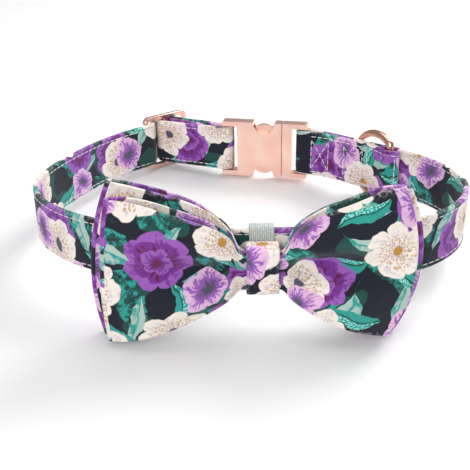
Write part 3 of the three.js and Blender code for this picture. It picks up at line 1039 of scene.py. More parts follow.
    def foliage(self, recipe: Recipe, sheet: Value, brush: Value, colour: Value) -> Value:
        """Return the colour with the broad fronds, the teal leaves and the pale leaves printed over it.

        Args:
            recipe: the material.
            sheet: the cloth's coordinates, in millimetres.
            brush: the brush marks.
            colour: what lies under the leaves.

        Returns:
            The result's socket.
        """
        frond = self.motif(recipe, sheet, self.fronds)
        cover, _, rib = self.leaf(recipe, frond, *self.frond_size)
        vein = recipe.math("ABSOLUTE", recipe.sine(frond.x, self.vein_pace))
        lines = recipe.math("MAXIMUM", rib, recipe.step(vein, *self.vein_edge))
        tone = recipe.mix(recipe.step(brush, *self.frond_brush), Ink.FOREST, Ink.TEAL)
        colour = recipe.mix(cover, colour, recipe.mix(recipe.times(lines, self.vein_ink), tone, Ink.NIGHT))
        pale = self.motif(recipe, sheet, self.pale_leaves)
        cover, half, rib = self.leaf(recipe, pale, *self.pale_leaf_size)
        brushed = recipe.mix(recipe.step(brush, *self.pale_brush), Ink.SAGE, Ink.TEAL)
        tone = recipe.mix(half, Ink.SAGE, brushed)
        colour = recipe.mix(cover, colour, recipe.mix(rib, tone, Ink.TEAL))
        teal = self.motif(recipe, sheet, self.leaves)
        cover, half, rib = self.leaf(recipe, teal, *self.leaf_size)
        speck = recipe.step(recipe.cells(sheet, 1.05, 0.75).outputs["Distance"], *self.leaf_speck_edge)
        dotted = recipe.mix(speck, Ink.TEAL, Ink.SEAFOAM)
        tone = recipe.mix(half, Ink.TEAL, dotted)
        return recipe.mix(cover, colour, recipe.mix(rib, tone, Ink.FOREST))

    def stamens(self, recipe: Recipe, sheet: Value, motif: Motif, colour: Value) -> Value:
        """Return the colour with the blossoms' ochre stamens and middles printed over it.

        Args:
            recipe: the material.
            sheet: the cloth's coordinates, in millimetres.
            motif: where the layer's motifs lie.
            colour: what lies under the stamens.

        Returns:
            The result's socket.
        """
        ray = recipe.math("ABSOLUTE", recipe.sine(motif.angle, self.ray_pace))
        reach = recipe.times(recipe.step(motif.radius, *self.ray_reach), motif.present)
        line = recipe.times(recipe.step(ray, *self.ray_edge), reach)
        colour = recipe.mix(recipe.times(line, self.ray_ink), colour, Ink.OCHRE)
        speck = recipe.step(recipe.cells(sheet, 0.9, 0.8).outputs["Distance"], *self.pollen_edge)
        near = recipe.times(recipe.step(motif.radius, *self.pollen_reach), motif.present)
        dots = recipe.times(speck, near)
        colour = recipe.mix(recipe.times(dots, self.pollen_ink), colour, Ink.OCHRE)
        heart = recipe.times(recipe.step(motif.radius, *self.heart_edge), motif.present)
        tone = recipe.mix(recipe.step(motif.chances[2], *self.heart_choice), Ink.OCHRE, Ink.SLATE)
        return recipe.mix(heart, colour, tone)


@dataclass(frozen=True)
class PrintedCloth:
    """Printed cotton over webbing or lining: the flower print, a fine plain weave with painted shade in its hollows,
    and rubbed edges.
    """

    name: str = "printed_cotton"
    print: FlowerPrint = FlowerPrint()
    thread: float = 0.34
    roughness: float = 0.82
    sheen: float = 0.12

    def make(self) -> bpy.types.Material:
        """Return the cloth's material.

        Returns:
            The material.
        """
        recipe = Recipe(self.name)
        sheet = recipe.scaled(recipe.flat(), 1 / MM)
        colour = self.print.colour(recipe, sheet)
        # The weave term lightens the threads' crests and darkens the hollows between them, which is painted shade;
        # the yarn noise is the threads' own random tone.
        u, v, _ = recipe.parts(recipe.scaled(sheet, math.pi / self.thread))
        weave = recipe.times(recipe.math("SINE", u), recipe.math("SINE", v))
        yarn = recipe.noise(sheet, 2.6, 2.0).outputs[0]
        level = recipe.linear(weave, 0.045, recipe.linear(yarn, 0.16, 0.92))
        shade = recipe.node("ShaderNodeCombineXYZ")
        for socket in shade.inputs:
            recipe.put(socket, level)
        colour = recipe.mix(1.0, colour, shade.outputs[0], "MULTIPLY")
        rub = recipe.node("ShaderNodeAttribute", attribute_name=RUB, attribute_type="GEOMETRY").outputs["Fac"]
        patchy = recipe.step(recipe.noise(sheet, 0.9, 3.0).outputs[0], 0.42, 0.7)
        worn = recipe.times(recipe.times(rub, patchy), 0.3)
        colour = recipe.mix(worn, colour, Ink.LINT)
        pucker = recipe.noise(sheet, 0.35, 3.0, 0.55).outputs[0]
        soft = recipe.bump(pucker, 0.0005, 0.5)
        normal = recipe.bump(weave, 0.00004, 0.55, soft)
        rough = recipe.linear(yarn, 0.14, self.roughness - 0.07)
        recipe.set(Base_Color=colour, Roughness=rough, Normal=normal, Sheen_Weight=self.sheen, Sheen_Roughness=0.5)
        recipe.set(Specular_IOR_Level=0.25)
        return recipe.material


@dataclass(frozen=True)
class SewingThread:
    """Pale twisted sewing thread, with painted shade in the grooves of its twist."""

    name: str = "sewing_thread"
    twist: float = 0.45
    roughness: float = 0.6

    def make(self) -> bpy.types.Material:
        """Return the thread's material.

        Returns:
            The material.
        """
        recipe = Recipe(self.name)
        place = recipe.scaled(recipe.place(), 1 / MM)
        x, y, z = recipe.parts(place)
        run = recipe.math("ADD", recipe.math("ADD", x, y), recipe.times(z, 1.3))
        ply = recipe.sine(run, math.tau / self.twist)
        fluff = recipe.noise(place, 3.0, 2.0).outputs[0]
        colour = recipe.mix(recipe.step(fluff, 0.35, 0.75), Ink.THREAD, Ink.BLUSH)
        # Darker towards sage in the grooves of the twist: painted shade.
        colour = recipe.mix(recipe.times(recipe.step(ply, -0.2, -0.9), 0.25), colour, Ink.SAGE)
        rough = recipe.linear(fluff, 0.2, self.roughness - 0.1)
        recipe.set(Base_Color=colour, Roughness=rough, Normal=recipe.bump(ply, 0.00005, 0.6), Sheen_Weight=0.2)
        return recipe.material


@dataclass(frozen=True)
class RibbedElastic:
    """Grey green ribbed elastic with fine ribs along its length, with painted shade between the ribs."""

    name: str = "ribbed_elastic"
    rib: float = 0.7
    weft: float = 0.5
    roughness: float = 0.75

    def make(self) -> bpy.types.Material:
        """Return the elastic's material.

        Returns:
            The material.
        """
        recipe = Recipe(self.name)
        sheet = recipe.scaled(recipe.flat(), 1 / MM)
        u, v, _ = recipe.parts(sheet)
        ribs = recipe.sine(v, math.tau / self.rib)
        weft = recipe.sine(u, math.tau / self.weft)
        lint = recipe.noise(sheet, 1.8, 3.0).outputs[0]
        colour = recipe.mix(recipe.step(lint, 0.35, 0.7), Ink.SAGE, Ink.LINT)
        # Darker towards slate in the grooves between the ribs: painted shade.
        colour = recipe.mix(recipe.times(recipe.step(ribs, 0.0, -1.0), 0.35), colour, Ink.SLATE)
        height = recipe.linear(weft, 0.3, ribs)
        rough = recipe.linear(lint, 0.15, self.roughness - 0.07)
        recipe.set(Base_Color=colour, Roughness=rough, Normal=recipe.bump(height, 0.0001, 0.7), Sheen_Weight=0.2)
        return recipe.material


@dataclass(frozen=True)
class RoseGold:
    """Plated rose gold: fine brushing, soft blotches and tiny scratches over a warm pink metal."""

    name: str
    deep: tuple[float, float, float, float]
    light: tuple[float, float, float, float]
    roughness: float
    scratch: float

    def make(self) -> bpy.types.Material:
        """Return the metal's material.

        Returns:
            The material.
        """
        recipe = Recipe(self.name)
        place = recipe.scaled(recipe.place(), 1 / MM)
        blotch = recipe.noise(place, 0.12, 3.0).outputs[0]
        grain = recipe.noise(place, 1.4, 4.0, 0.65).outputs[0]
        stretched = recipe.node("ShaderNodeMapping")
        recipe.put(stretched.inputs["Vector"], place)
        stretched.inputs["Rotation"].default_value = (0.3, 0.5, 0.6)
        stretched.inputs["Scale"].default_value = (0.25, 6.0, 6.0)
        scratch = recipe.noise(stretched.outputs[0], 1.0, 2.0).outputs[0]
        line = recipe.step(scratch, 0.68, 0.74)
        colour = recipe.mix(recipe.step(blotch, 0.35, 0.65), self.deep, self.light)
        rough = recipe.linear(grain, 0.12, self.roughness - 0.06)
        rough = recipe.linear(line, 0.12, rough)
        fine = recipe.bump(grain, 0.00002, 0.3)
        normal = recipe.bump(line, 0.00001, self.scratch, fine)
        recipe.set(Base_Color=colour, Metallic=1.0, Roughness=rough, Normal=normal)
        return recipe.material


@dataclass(frozen=True)
class Finishes:
    """Every finish of the collar."""

    cloth: bpy.types.Material
    thread: bpy.types.Material
    elastic: bpy.types.Material
    satin_gold: bpy.types.Material
    bright_gold: bpy.types.Material
    copper_gold: bpy.types.Material

    @staticmethod
    def make() -> "Finishes":
        """Return the finishes, each made once.

        Returns:
            The finishes.
        """
        return Finishes(
            PrintedCloth().make(),
            SewingThread().make(),
            RibbedElastic().make(),
            RoseGold("satin_rose_gold", (0.93, 0.58, 0.47, 1), (0.96, 0.66, 0.56, 1), 0.34, 0.3).make(),
            RoseGold("bright_rose_gold", (0.93, 0.56, 0.45, 1), (0.96, 0.64, 0.53, 1), 0.2, 0.3).make(),
            RoseGold("copper_rose_gold", (0.82, 0.46, 0.34, 1), (0.90, 0.56, 0.44, 1), 0.15, 0.2).make(),
        )


# Strap


@dataclass(frozen=True)
class Fittings:
    """Where the buckle, the slide and the ring stand on the plan, and the strap that runs through them."""

    gap: float = 0.3
    width: float = 20.0
    thickness: float = 2.0
    buckle: PlanPlace = PlanPlace(14.2, 71.5, -12)
    buckle_length: float = 39.0
    buckle_bar: float = 3.0
    slide: PlanPlace = PlanPlace(-32.3, 87.3, 41)
    slide_length: float = 24.2
    slide_bar: float = 2.2
    ring: PlanPlace = PlanPlace(64.5486, 39.529, 120.2134)
    ring_wire: float = 3.2

    @property
    def middle(self) -> float:
        """Return the height of the strap's middle, where every fitting is centred."""
        return self.width / 2

    @property
    def bar_place(self) -> float:
        """Return how far the buckle's bars stand from its middle."""
        return (self.buckle_length - self.buckle_bar) / 2

    @property
    def socket_bar(self) -> Vector:
        """Return the socket's bar."""
        return self.buckle.at(-self.bar_place, 0)

    @property
    def prong_bar(self) -> Vector:
        """Return the prongs' bar."""
        return self.buckle.at(self.bar_place, 0)

    @property
    def slide_left_bar(self) -> Vector:
        """Return the slide's bar on the neck's side."""
        return self.slide.at(-(self.slide_length - self.slide_bar) / 2, 0)

    @property
    def buckle_wrap(self) -> float:
        """Return the radius of the strap's middle round a buckle bar."""
        return self.buckle_bar / 2 + self.gap + self.thickness / 2

    @property
    def slide_wrap(self) -> float:
        """Return the radius of the strap's middle round a slide bar."""
        return self.slide_bar / math.sqrt(2) + self.gap + self.thickness / 2

    @property
    def ring_wrap(self) -> float:
        """Return the radius of the strap's middle round the ring's bar."""
        return self.ring_wire / 2 + self.gap + self.thickness / 2

    @property
    def layer_pitch(self) -> float:
        """Return the distance between the middles of two layers of strap."""
        return self.thickness + self.gap


FITTINGS = Fittings()
NECK_COURSE = (
    (-47.6, 69.4), (-55.2, 59.6), (-62.0, 48.0), (-67.8, 35.5), (-72.4, 22.0),
    (-74.0, 9.5), (-72.0, -1.5), (-66.0, -12.0), (-56.5, -21.5), (-43.5, -29.2),
    (-26.0, -34.8), (-8.0, -37.3), (8.5, -37.6), (26.0, -37.3), (44.0, -35.6),
    (59.0, -31.6), (71.0, -24.0), (80.0, -13.0), (84.6, 0.5), (83.6, 13.5),
    (78.6, 25.5), (70.6, 35.8), (60.6, 45.6), (50.6, 55.0), (42.0, 62.8),
)


@dataclass(frozen=True)
class StrapCourse:
    """The strap's course on the plan, in its three lengths between the buckle's slots."""

    fittings: Fittings = FITTINGS
    seam_space: float = 0.4
    arrive_deg: float = 50.0
    leave_left_deg: float = 316.0
    step: float = 0.75
    pocket_spread: float = 4.2
    pocket_bump: float = 1.2
    pocket_start: float = 2.0
    pocket_tail: float = 5.6
    flare_length: float = 7.0
    sewn_end: float = 20.0

    @property
    def seam(self) -> float:
        """Return half the angle between two lengths that meet in a slot."""
        return self.seam_space / (self.fittings.buckle_wrap - self.fittings.thickness / 2)

    def plain_neck(self) -> Line:
        """Return the line from the prongs' bar back round the neck, over the slide and to the socket's bar.

        Returns:
            The line, from the prongs' bar.
        """
        f = self.fittings
        outer = f.slide_wrap + f.gap + f.thickness
        socket_slot = math.radians(f.buckle.angle_deg)
        leave_socket = tangent(f.socket_bar, f.buckle_wrap, f.slide.centre, outer, -1)
        leave_slide = tangent(f.slide.centre, outer, f.slide_left_bar, -f.slide_wrap, -1)
        left = math.radians(self.leave_left_deg)
        arrive = math.radians(self.arrive_deg)
        line = arc(f.socket_bar, f.buckle_wrap, socket_slot + self.seam, leave_socket)
        line += arc(f.slide.centre, outer, leave_socket, leave_slide)
        wrap = arc(f.slide_left_bar, f.slide_wrap, leave_slide + math.pi, left, clockwise=True)
        line += wrap + spline_through([wrap[-1]] + [Vector(point) for point in NECK_COURSE])[1:]
        line += arc(f.prong_bar, f.buckle_wrap, arrive, socket_slot + math.pi - self.seam)
        return even(line, self.step)[::-1]

    def wrap_length(self) -> float:
        """Return the length of strap on the prongs' bar, at the start of the neck's line."""
        turn = math.radians(self.fittings.buckle.angle_deg) + math.pi - self.seam - math.radians(self.arrive_deg)
        return self.fittings.buckle_wrap * turn

    def from_ring(self, neck: Line) -> list[float]:
        """Return each point's distance along the strap from the ring's bar.

        Args:
            neck: the neck's line.

        Returns:
            The distances, less than 0 on the buckle's side.
        """
        ring = self.fittings.ring.centre
        nearest = min(range(len(neck)), key=lambda i: (neck[i] - ring).length)
        lengths = lengths_of(neck)
        return [length - lengths[nearest] for length in lengths]

    def swell(self, distance: float) -> float:
        """Return how much of the ring's pocket is open at a distance from the ring."""
        return math.exp(-((distance / self.pocket_spread) ** 2))

    def neck(self) -> Line:
        """Return the neck's line with its small bump over the ring's bar.

        Returns:
            The line.
        """
        plain = self.plain_neck()
        distances = self.from_ring(plain)
        return offset(plain, lambda i: -self.pocket_bump * self.swell(distances[i]))

    def pocket(self) -> Line:
        """Return the second layer's line, from the prongs' bar to just past the ring's bar.

        Returns:
            The line.
        """
        f = self.fittings
        plain = self.plain_neck()
        lengths = lengths_of(plain)
        distances = self.from_ring(plain)
        swelling = 2 * f.ring_wrap - self.pocket_bump - f.layer_pitch
        flaring = 2 * f.buckle_wrap - f.layer_pitch
        start = self.wrap_length()

        def inwards(i: int) -> float:
            """Return how far the layer lies inside the neck's line."""
            flare = math.exp(-(((lengths[i] - start) / self.flare_length) ** 2))
            return f.layer_pitch + swelling * self.swell(distances[i]) + flaring * flare

        layer = offset(plain, inwards)
        free = [
            point for point, length, distance in zip(layer, lengths, distances)
            if length > start + self.pocket_start and distance < self.pocket_tail
        ]
        slot = math.radians(f.buckle.angle_deg) + math.pi
        wrap = arc(f.prong_bar, f.buckle_wrap, slot + self.seam, math.radians(self.arrive_deg) + math.pi)
        return even(wrap + spline_through([wrap[-1]] + free[::2], 4)[1:], self.step)

    def slide_end(self) -> Line:
        """Return the line from the socket's bar to the slide's middle bar, round it and sewn back down.

        Returns:
            The line.
        """
        f = self.fittings
        leave = tangent(f.socket_bar, f.buckle_wrap, f.slide.centre, f.slide_wrap, 1)
        reach = on_circle(f.slide.centre, f.slide_wrap, leave)
        closing = math.atan((2 * f.slide_wrap - f.layer_pitch) / self.sewn_end)
        end = reach + on_circle(Vector((0, 0)), self.sewn_end, leave + math.pi / 2)
        end += on_circle(Vector((0, 0)), f.layer_pitch, leave + math.pi)
        slot = math.radians(f.buckle.angle_deg)
        line = arc(f.socket_bar, f.buckle_wrap, slot - self.seam, leave, clockwise=True)
        line += arc(f.slide.centre, f.slide_wrap, leave, leave + math.pi - closing, clockwise=True)
        return even(line + [end], self.step)


@dataclass
class StrapSurface:
    """One length of strap as built: its line, and how to find a place on either face."""

    line: Line
    normals: Line = field(init=False)
    lengths: list[float] = field(init=False)

    def __post_init__(self) -> None:
        """Work out the normals and lengths once."""
        self.normals = right_normals(self.line)
        self.lengths = lengths_of(self.line)

    def at(self, along: float, height: float, out: float) -> Vector:
        """Return a place at a length along the strap, a height over its lower edge and a distance off its middle.

        Args:
            along: the length.
            height: the height.
            out: the distance, towards the loop's inside.

        Returns:
            The place.
        """
        along = min(max(along, 0.0), self.lengths[-1])
        i = min(int(along / self.lengths[-1] * (len(self.line) - 1)), len(self.line) - 2)
        part = (along - self.lengths[i]) / (self.lengths[i + 1] - self.lengths[i])
        point = self.line[i].lerp(self.line[i + 1], part)
        normal = self.normals[i].lerp(self.normals[i + 1], part)
        return Vector((point.x + normal.x * out, point.y + normal.y * out, height))

    def nearest(self, x: float, y: float) -> float:
        """Return the length along the strap that lies nearest to a plan point."""
        return min(zip(self.lengths, self.line), key=lambda item: (item[1] - Vector((x, y))).length)[0]


@dataclass(frozen=True)
class Stitching:
    """Rows of thread stitches, each a small sunken loop of thread."""

    pitch: float = 2.9
    share: float = 0.86
    radius: float = 0.21
    flatten: float = 0.75

    def stitch(self, bm: Mesh, start: Vector, end: Vector, out: Vector, radius: float) -> None:
        """Add one stitch between two places, flattened along the outward direction.

        Args:
            bm: the mesh that takes it.
            start: one end.
            end: the other end.
            out: the outward direction.
            radius: the thread's radius.
        """
        ahead = (end - start).normalized()
        across = ahead.cross(out).normalized()
        up = across.cross(ahead)
        half = (end - start).length / 2
        turn = Matrix((ahead * half, across * radius, up * radius * self.flatten)).transposed().to_4x4()
        matrix = Matrix.Translation((start + end) / 2) @ turn @ Matrix.Rotation(math.pi / 2, 4, "Y")
        bmesh.ops.create_uvsphere(bm, u_segments=6, v_segments=6, radius=1.0, matrix=matrix)

    def between(self, bm: Mesh, place: Callable[[float], tuple[Vector, Vector]], length: float) -> None:
        """Add a row along a line that is given as places by length.

        Args:
            bm: the mesh that takes it.
            place: gives a place and its outward direction at a length.
            length: the row's length.
        """
        count = max(1, round(length / self.pitch))
        row = bmesh.new()
        for i in range(count):
            middle = (i + 0.5) * length / count
            reach = 0.5 * self.share * length / count
            start, out = place(middle - reach)
            end, _ = place(middle + reach)
            self.stitch(row, start, end, out, self.radius)
        mesh = bpy.data.meshes.new("row")
        row.to_mesh(mesh)
        row.free()
        bm.from_mesh(mesh)
        bpy.data.meshes.remove(mesh)


@dataclass(frozen=True)
class Strap:
    """The flowered strap: webbing covered in printed cotton, in three lengths, with all its stitching."""

    width: float = FITTINGS.width
    thickness: float = FITTINGS.thickness
    corner: float = 0.75
    stitch_inset: float = 1.9
    groove: float = 0.16
    groove_spread: float = 0.4
    course: StrapCourse = StrapCourse()
    stitching: Stitching = Stitching()
    edge_lift: float = -0.06
    boxes: tuple[Pair, ...] = ((7.6, 16.0), (24.0, 33.6))
    box_margin: float = 3.4
    neck_box_shift: float = 1.0
    fold_row: float = 36.0
    end_row: float = 1.6
    row_margin: float = 2.6
    tack_place: float = 13.0
    tack_stitches: int = 30
    tack_margin: float = 2.4
    tack_lean: float = 1.1
    tack_rise: float = 0.25
    tack_lift: float = 0.08
    draw: float = 0.06
    wave: float = 0.12
    swell: float = 0.05

    def profile(self) -> Profile:
        """Return the strap's section, across its thickness and up its width, with the grooves of its stitching.

        Returns:
            The section's outline.
        """
        half = self.width / 2
        flat = half - self.corner
        groove = half - self.stitch_inset
        heights = [-flat] + [-groove + step * self.groove_spread for step in (-2, -1, 0, 1, 2)] + [-4.5, -2.2, 0]
        heights += [-height for height in reversed(heights[:-1])]
        outline = []
        for side in (1, -1):
            for height in heights:
                dip = self.groove * math.exp(-(((abs(height) - groove) / self.groove_spread) ** 2))
                outline.append((side * (self.thickness / 2 - dip), side * height))
            centre = Vector((side * (self.thickness / 2 - self.corner), side * flat))
            for step in (1, 2, 3, 4, 5):
                turn = math.radians(0 if side > 0 else 180) + math.pi * step / 6
                reach = on_circle(Vector((0, 0)), 1.0, turn)
                across = centre.x * (1 - step / 3) + reach.x * self.corner
                outline.append((across, side * flat + reach.y * self.corner))
        return outline

    def webbing(self, line: Line, shift: Pair) -> Mesh:
        """Return one length of strap, slightly uneven where the cloth is drawn in by its stitches.

        Args:
            line: the length's middle line.
            shift: where on the print it starts.

        Returns:
            The length's mesh.
        """
        profile = self.profile()
        stations = []
        normals = right_normals(line)
        for i, (point, along) in enumerate(zip(line, lengths_of(line))):
            place = Vector((point.x, point.y, self.width / 2))
            side = Vector((normals[i].x, normals[i].y, 0))
            stations.append(Station(place, side, Vector((0, 0, 1)), along))

        def section(i: int) -> Profile:
            """Return the section at a station, drawn in between the stitches.

            Args:
                i: the station's number.

            Returns:
                The section's outline.
            """
            along = stations[i].along
            draw = self.draw * math.cos(math.tau * along / self.stitching.pitch)
            wave = self.wave * noise.noise(Vector((along * 0.12, shift[0], 0)))
            out = []
            for across, height in profile:
                near = smooth(abs(height), self.width / 2 - 3.5, self.width / 2 - 1.0)
                swell = 1 + self.swell * noise.noise(Vector((along * 0.2, height * 0.25, shift[1])))
                out.append((across * swell * (1 - draw * near * 0.6), height + wave * near))
            return out

        def rubbed(j: int) -> float:
            """Return 1 on the strap's rounded edges and 0 on its faces."""
            return smooth(abs(profile[j][1]), self.width / 2 - 1.0, self.width / 2 - 0.2)

        return swept(stations, section, shift=shift, rub_at=rubbed)

    def row(
        self,
        bm: Mesh,
        surface: StrapSurface,
        face: int,
        start: Pair,
        end: Pair,
        lift: float = 0.03,
    ) -> None:
        """Add a straight row of stitches to a face of the strap.

        Args:
            bm: the mesh that takes the stitches.
            surface: the length of strap.
            face: 1 for the inside of the loop and -1 for the outside.
            start: where the row starts, as a length along the strap and a height.
            end: where it ends, in the same way.
            lift: how far the thread's middle lies over the face.
        """
        length = math.dist(start, end)
        out = self.thickness / 2 + lift

        def place(run: float) -> tuple[Vector, Vector]:
            """Return a place of the row and its outward direction.

            Args:
                run: how far along the row.

            Returns:
                The place and the direction.
            """
            part = run / length
            along = start[0] + (end[0] - start[0]) * part
            height = start[1] + (end[1] - start[1]) * part
            spot = surface.at(along, height, face * out)
            return spot, surface.at(along, height, face * (out + 1)) - spot

        self.stitching.between(bm, place, length)

    def edge_rows(self, bm: Mesh, surface: StrapSurface, face: int, start: float, spare: float) -> None:
        """Add the rows along both edges of a face.

        Args:
            bm: the mesh that takes the stitches.
            surface: the length of strap.
            face: 1 for the inside of the loop and -1 for the outside.
            start: where the rows start along the strap.
            spare: how far before the strap's end they stop.
        """
        end = surface.lengths[-1] - spare
        for height in (self.stitch_inset, self.width - self.stitch_inset):
            self.row(bm, surface, face, (start, height), (end, height), self.edge_lift)

    def crossed_box(self, bm: Mesh, surface: StrapSurface, face: int, start: float, end: float) -> None:
        """Add a box of stitches with a cross in it.

        Args:
            bm: the mesh that takes the stitches.
            surface: the length of strap.
            face: 1 for the inside of the loop and -1 for the outside.
            start: where the box starts along the strap.
            end: where it ends.
        """
        low, high = self.box_margin, self.width - self.box_margin
        for first, last in (
            ((start, low), (start, high)), ((end, low), (end, high)),
            ((start, low), (end, high)), ((start, high), (end, low)),
        ):
            self.row(bm, surface, face, first, last)

    def bar_tack(self, bm: Mesh, surface: StrapSurface, face: int, along: float) -> None:
        """Add a dense zigzag of thread from edge to edge across a face.

        Args:
            bm: the mesh that takes the stitches.
            surface: the length of strap.
            face: 1 for the inside of the loop and -1 for the outside.
            along: where the zigzag lies along the strap.
        """
        low, high = self.tack_margin, self.width - self.tack_margin
        out = face * (self.thickness / 2 + self.tack_lift)
        for i in range(self.tack_stitches):
            height = low + (high - low) * i / (self.tack_stitches - 1)
            lean = self.tack_lean if i % 2 else -self.tack_lean
            start = surface.at(along - lean, height - self.tack_rise, out)
            end = surface.at(along + lean, height + self.tack_rise, out)
            normal = surface.at(along, height, out + face) - surface.at(along, height, out)
            self.stitching.stitch(bm, start, end, normal, self.stitching.radius * 1.1)

    def build(self, finishes: Finishes) -> None:
        """Build and dress the strap's pieces.

        Args:
            finishes: the collar's materials.
        """
        course = self.course
        neck_line, pocket_line, slide_line = course.neck(), course.pocket(), course.slide_end()
        for name, node, line, shift in (
            ("neck_webbing", "neck_strap", neck_line, (12.0, 5.0)),
            ("pocket_webbing", "pocket_strap", pocket_line, (150.0, 61.0)),
            ("slide_webbing", "slide_strap", slide_line, (33.0, 97.0)),
        ):
            as_piece(self.webbing(line, shift), name, finishes.cloth, Body.COLLAR, (node,))
        neck, pocket, slide = (StrapSurface(line) for line in (neck_line, pocket_line, slide_line))
        rows = bmesh.new()
        for surface, face, start, spare in (
            (neck, 1, 6.0, 3.0), (neck, -1, 6.0, 3.0), (pocket, 1, 7.0, 0.8),
            (slide, -1, 5.5, 1.0), (slide, 1, 5.5, 1.0),
        ):
            self.edge_rows(rows, surface, face, start, spare)
        as_piece(rows, "edge_stitching", finishes.thread, Body.COLLAR)
        boxes = bmesh.new()
        for start, end in self.boxes:
            self.crossed_box(boxes, pocket, 1, start, end)
            self.crossed_box(boxes, neck, -1, start + self.neck_box_shift, end + self.neck_box_shift)
        for along in (self.fold_row, pocket.lengths[-1] - self.end_row):
            self.row(boxes, pocket, 1, (along, self.row_margin), (along, self.width - self.row_margin))
        as_piece(boxes, "box_stitching", finishes.thread, Body.COLLAR)
        tack = bmesh.new()
        slide_turn = slide.nearest(*self.course.fittings.slide.centre)
        self.bar_tack(tack, slide, 1, slide_turn - self.tack_place)
        as_piece(tack, "bar_tack", finishes.thread, Body.COLLAR)


# Fittings


@dataclass(frozen=True)
class Buckle:
    """The side-release buckle: a socket with a thumb notch in each edge, and the prongs that fill it."""

    place: PlanPlace = FITTINGS.buckle
    length: float = FITTINGS.buckle_length
    height: float = 25.3
    thickness: float = 5.6
    bar: float = FITTINGS.buckle_bar
    slot_length: float = 4.2
    slot_height: float = 21.0
    corner: float = 1.0
    split: float = 7.9
    gap: float = 0.3
    notch_radius: float = 4.9
    notch_place: float = -0.3
    mouth_depth: float = 16.0
    mouth_height: float = 22.0
    mouth_thickness: float = 3.0
    prong_tip: float = -6.5
    arm_depth: float = 3.0
    tip_depth: float = 1.6
    pad_half_length: float = 3.4
    pad_rise: float = 1.1
    guide_height: float = 6.0
    edge_round: float = 0.4

    def bar_solid(self, end: int) -> Mesh:
        """Return the round bar at the socket's end, -1, or the prongs' end, 1.

        Args:
            end: which end.

        Returns:
            The bar's mesh.
        """
        bm = bmesh.new()
        bmesh.ops.create_cone(
            bm, cap_ends=True, segments=32, radius1=self.bar / 2, radius2=self.bar / 2, depth=self.slot_height + 0.6,
            matrix=Matrix.Translation((end * (self.length - self.bar) / 2, 0, 0)),
        )
        return bm

    def slot_cutter(self, end: int) -> Mesh:
        """Return the block that cuts the strap's slot and the recess beside the bar.

        Args:
            end: -1 for the socket and 1 for the prongs.

        Returns:
            The block's mesh.
        """
        inner = self.length / 2 - self.bar - self.slot_length
        outer = self.length / 2 + 1
        size = (outer - inner, self.thickness + 2, self.slot_height)
        return block(size, (end * (inner + outer) / 2, 0, 0))

    def socket_outline(self) -> Profile:
        """Return the socket's outline with its two thumb notches.

        Returns:
            The outline.
        """
        start, top = -self.length / 2, self.height / 2
        corner = Vector((start + self.corner, top - self.corner))
        points = arc(Vector((self.notch_place, top)), self.notch_radius, 0, math.pi, clockwise=True, steps=28)
        points += arc(corner, self.corner, math.pi / 2, math.pi, steps=5)
        half = [(self.split, top)] + [(point.x, point.y) for point in points]
        return half + [(x, -z) for x, z in reversed(half)]

    def socket(self) -> Mesh:
        """Return the socket's solid.

        Returns:
            Its mesh.
        """
        mouth = (2 * self.mouth_depth, self.mouth_thickness, self.mouth_height)
        steps = [
            (Cut.TAKE_AWAY, self.slot_cutter(-1)),
            (Cut.TAKE_AWAY, block(mouth, (self.split, 0, 0))),
            (Cut.ADD, self.bar_solid(-1)),
        ]
        return combined(plate(self.socket_outline(), self.thickness), steps)

    def arm(self) -> Mesh:
        """Return one spring prong: an arm with a finger pad and a hooked tip.

        Returns:
            Its mesh.
        """
        root, rim = self.split + 1, self.mouth_height / 2 - 2 * self.gap
        outline = [(root, rim - self.arm_depth), (root, rim)]
        for i in range(17):
            part = 1 - i / 8
            outline.append((self.notch_place + self.pad_half_length * part, rim + self.pad_rise * (1 - part * part)))
        outline += [(self.prong_tip, rim - self.tip_depth), (self.prong_tip, rim - self.arm_depth)]
        return plate(outline, self.mouth_thickness - 2 * self.gap)

    def prongs(self) -> Mesh:
        """Return the prongs' solid.

        Returns:
            Its mesh.
        """
        start, end, top = self.split + self.gap, self.length / 2, self.height / 2
        centre = Vector((end - self.corner, top - self.corner))
        corner = arc(centre, self.corner, math.pi / 2, 0, clockwise=True, steps=5)
        half = [(start, top)] + [(point.x, point.y) for point in corner]
        outline = half + [(x, -z) for x, z in reversed(half)]
        lower = self.arm()
        bmesh.ops.rotate(lower, cent=(0, 0, 0), matrix=Matrix.Rotation(math.pi, 3, "X"), verts=lower.verts)
        guide_length = start - self.prong_tip + 1
        guide = (guide_length, self.mouth_thickness - 2 * self.gap, self.guide_height)
        steps = [
            (Cut.TAKE_AWAY, self.slot_cutter(1)),
            (Cut.ADD, self.arm()),
            (Cut.ADD, lower),
            (Cut.ADD, block(guide, (self.prong_tip + guide_length / 2, 0, 0))),
            (Cut.ADD, self.bar_solid(1)),
        ]
        return combined(plate(outline, self.thickness), steps)

    def build(self, finishes: Finishes) -> None:
        """Build and dress the buckle's pieces.

        Args:
            finishes: the collar's materials.
        """
        matrix = self.place.matrix(FITTINGS.middle)
        halves = (
            ("socket_shell", "buckle_socket", self.socket()), ("prong_frame", "buckle_prongs", self.prongs()),
        )
        for name, node, solid in halves:
            piece = as_piece(solid, name, finishes.satin_gold, Body.COLLAR, (node,), matrix)
            bevelled(piece, self.edge_round, 3)


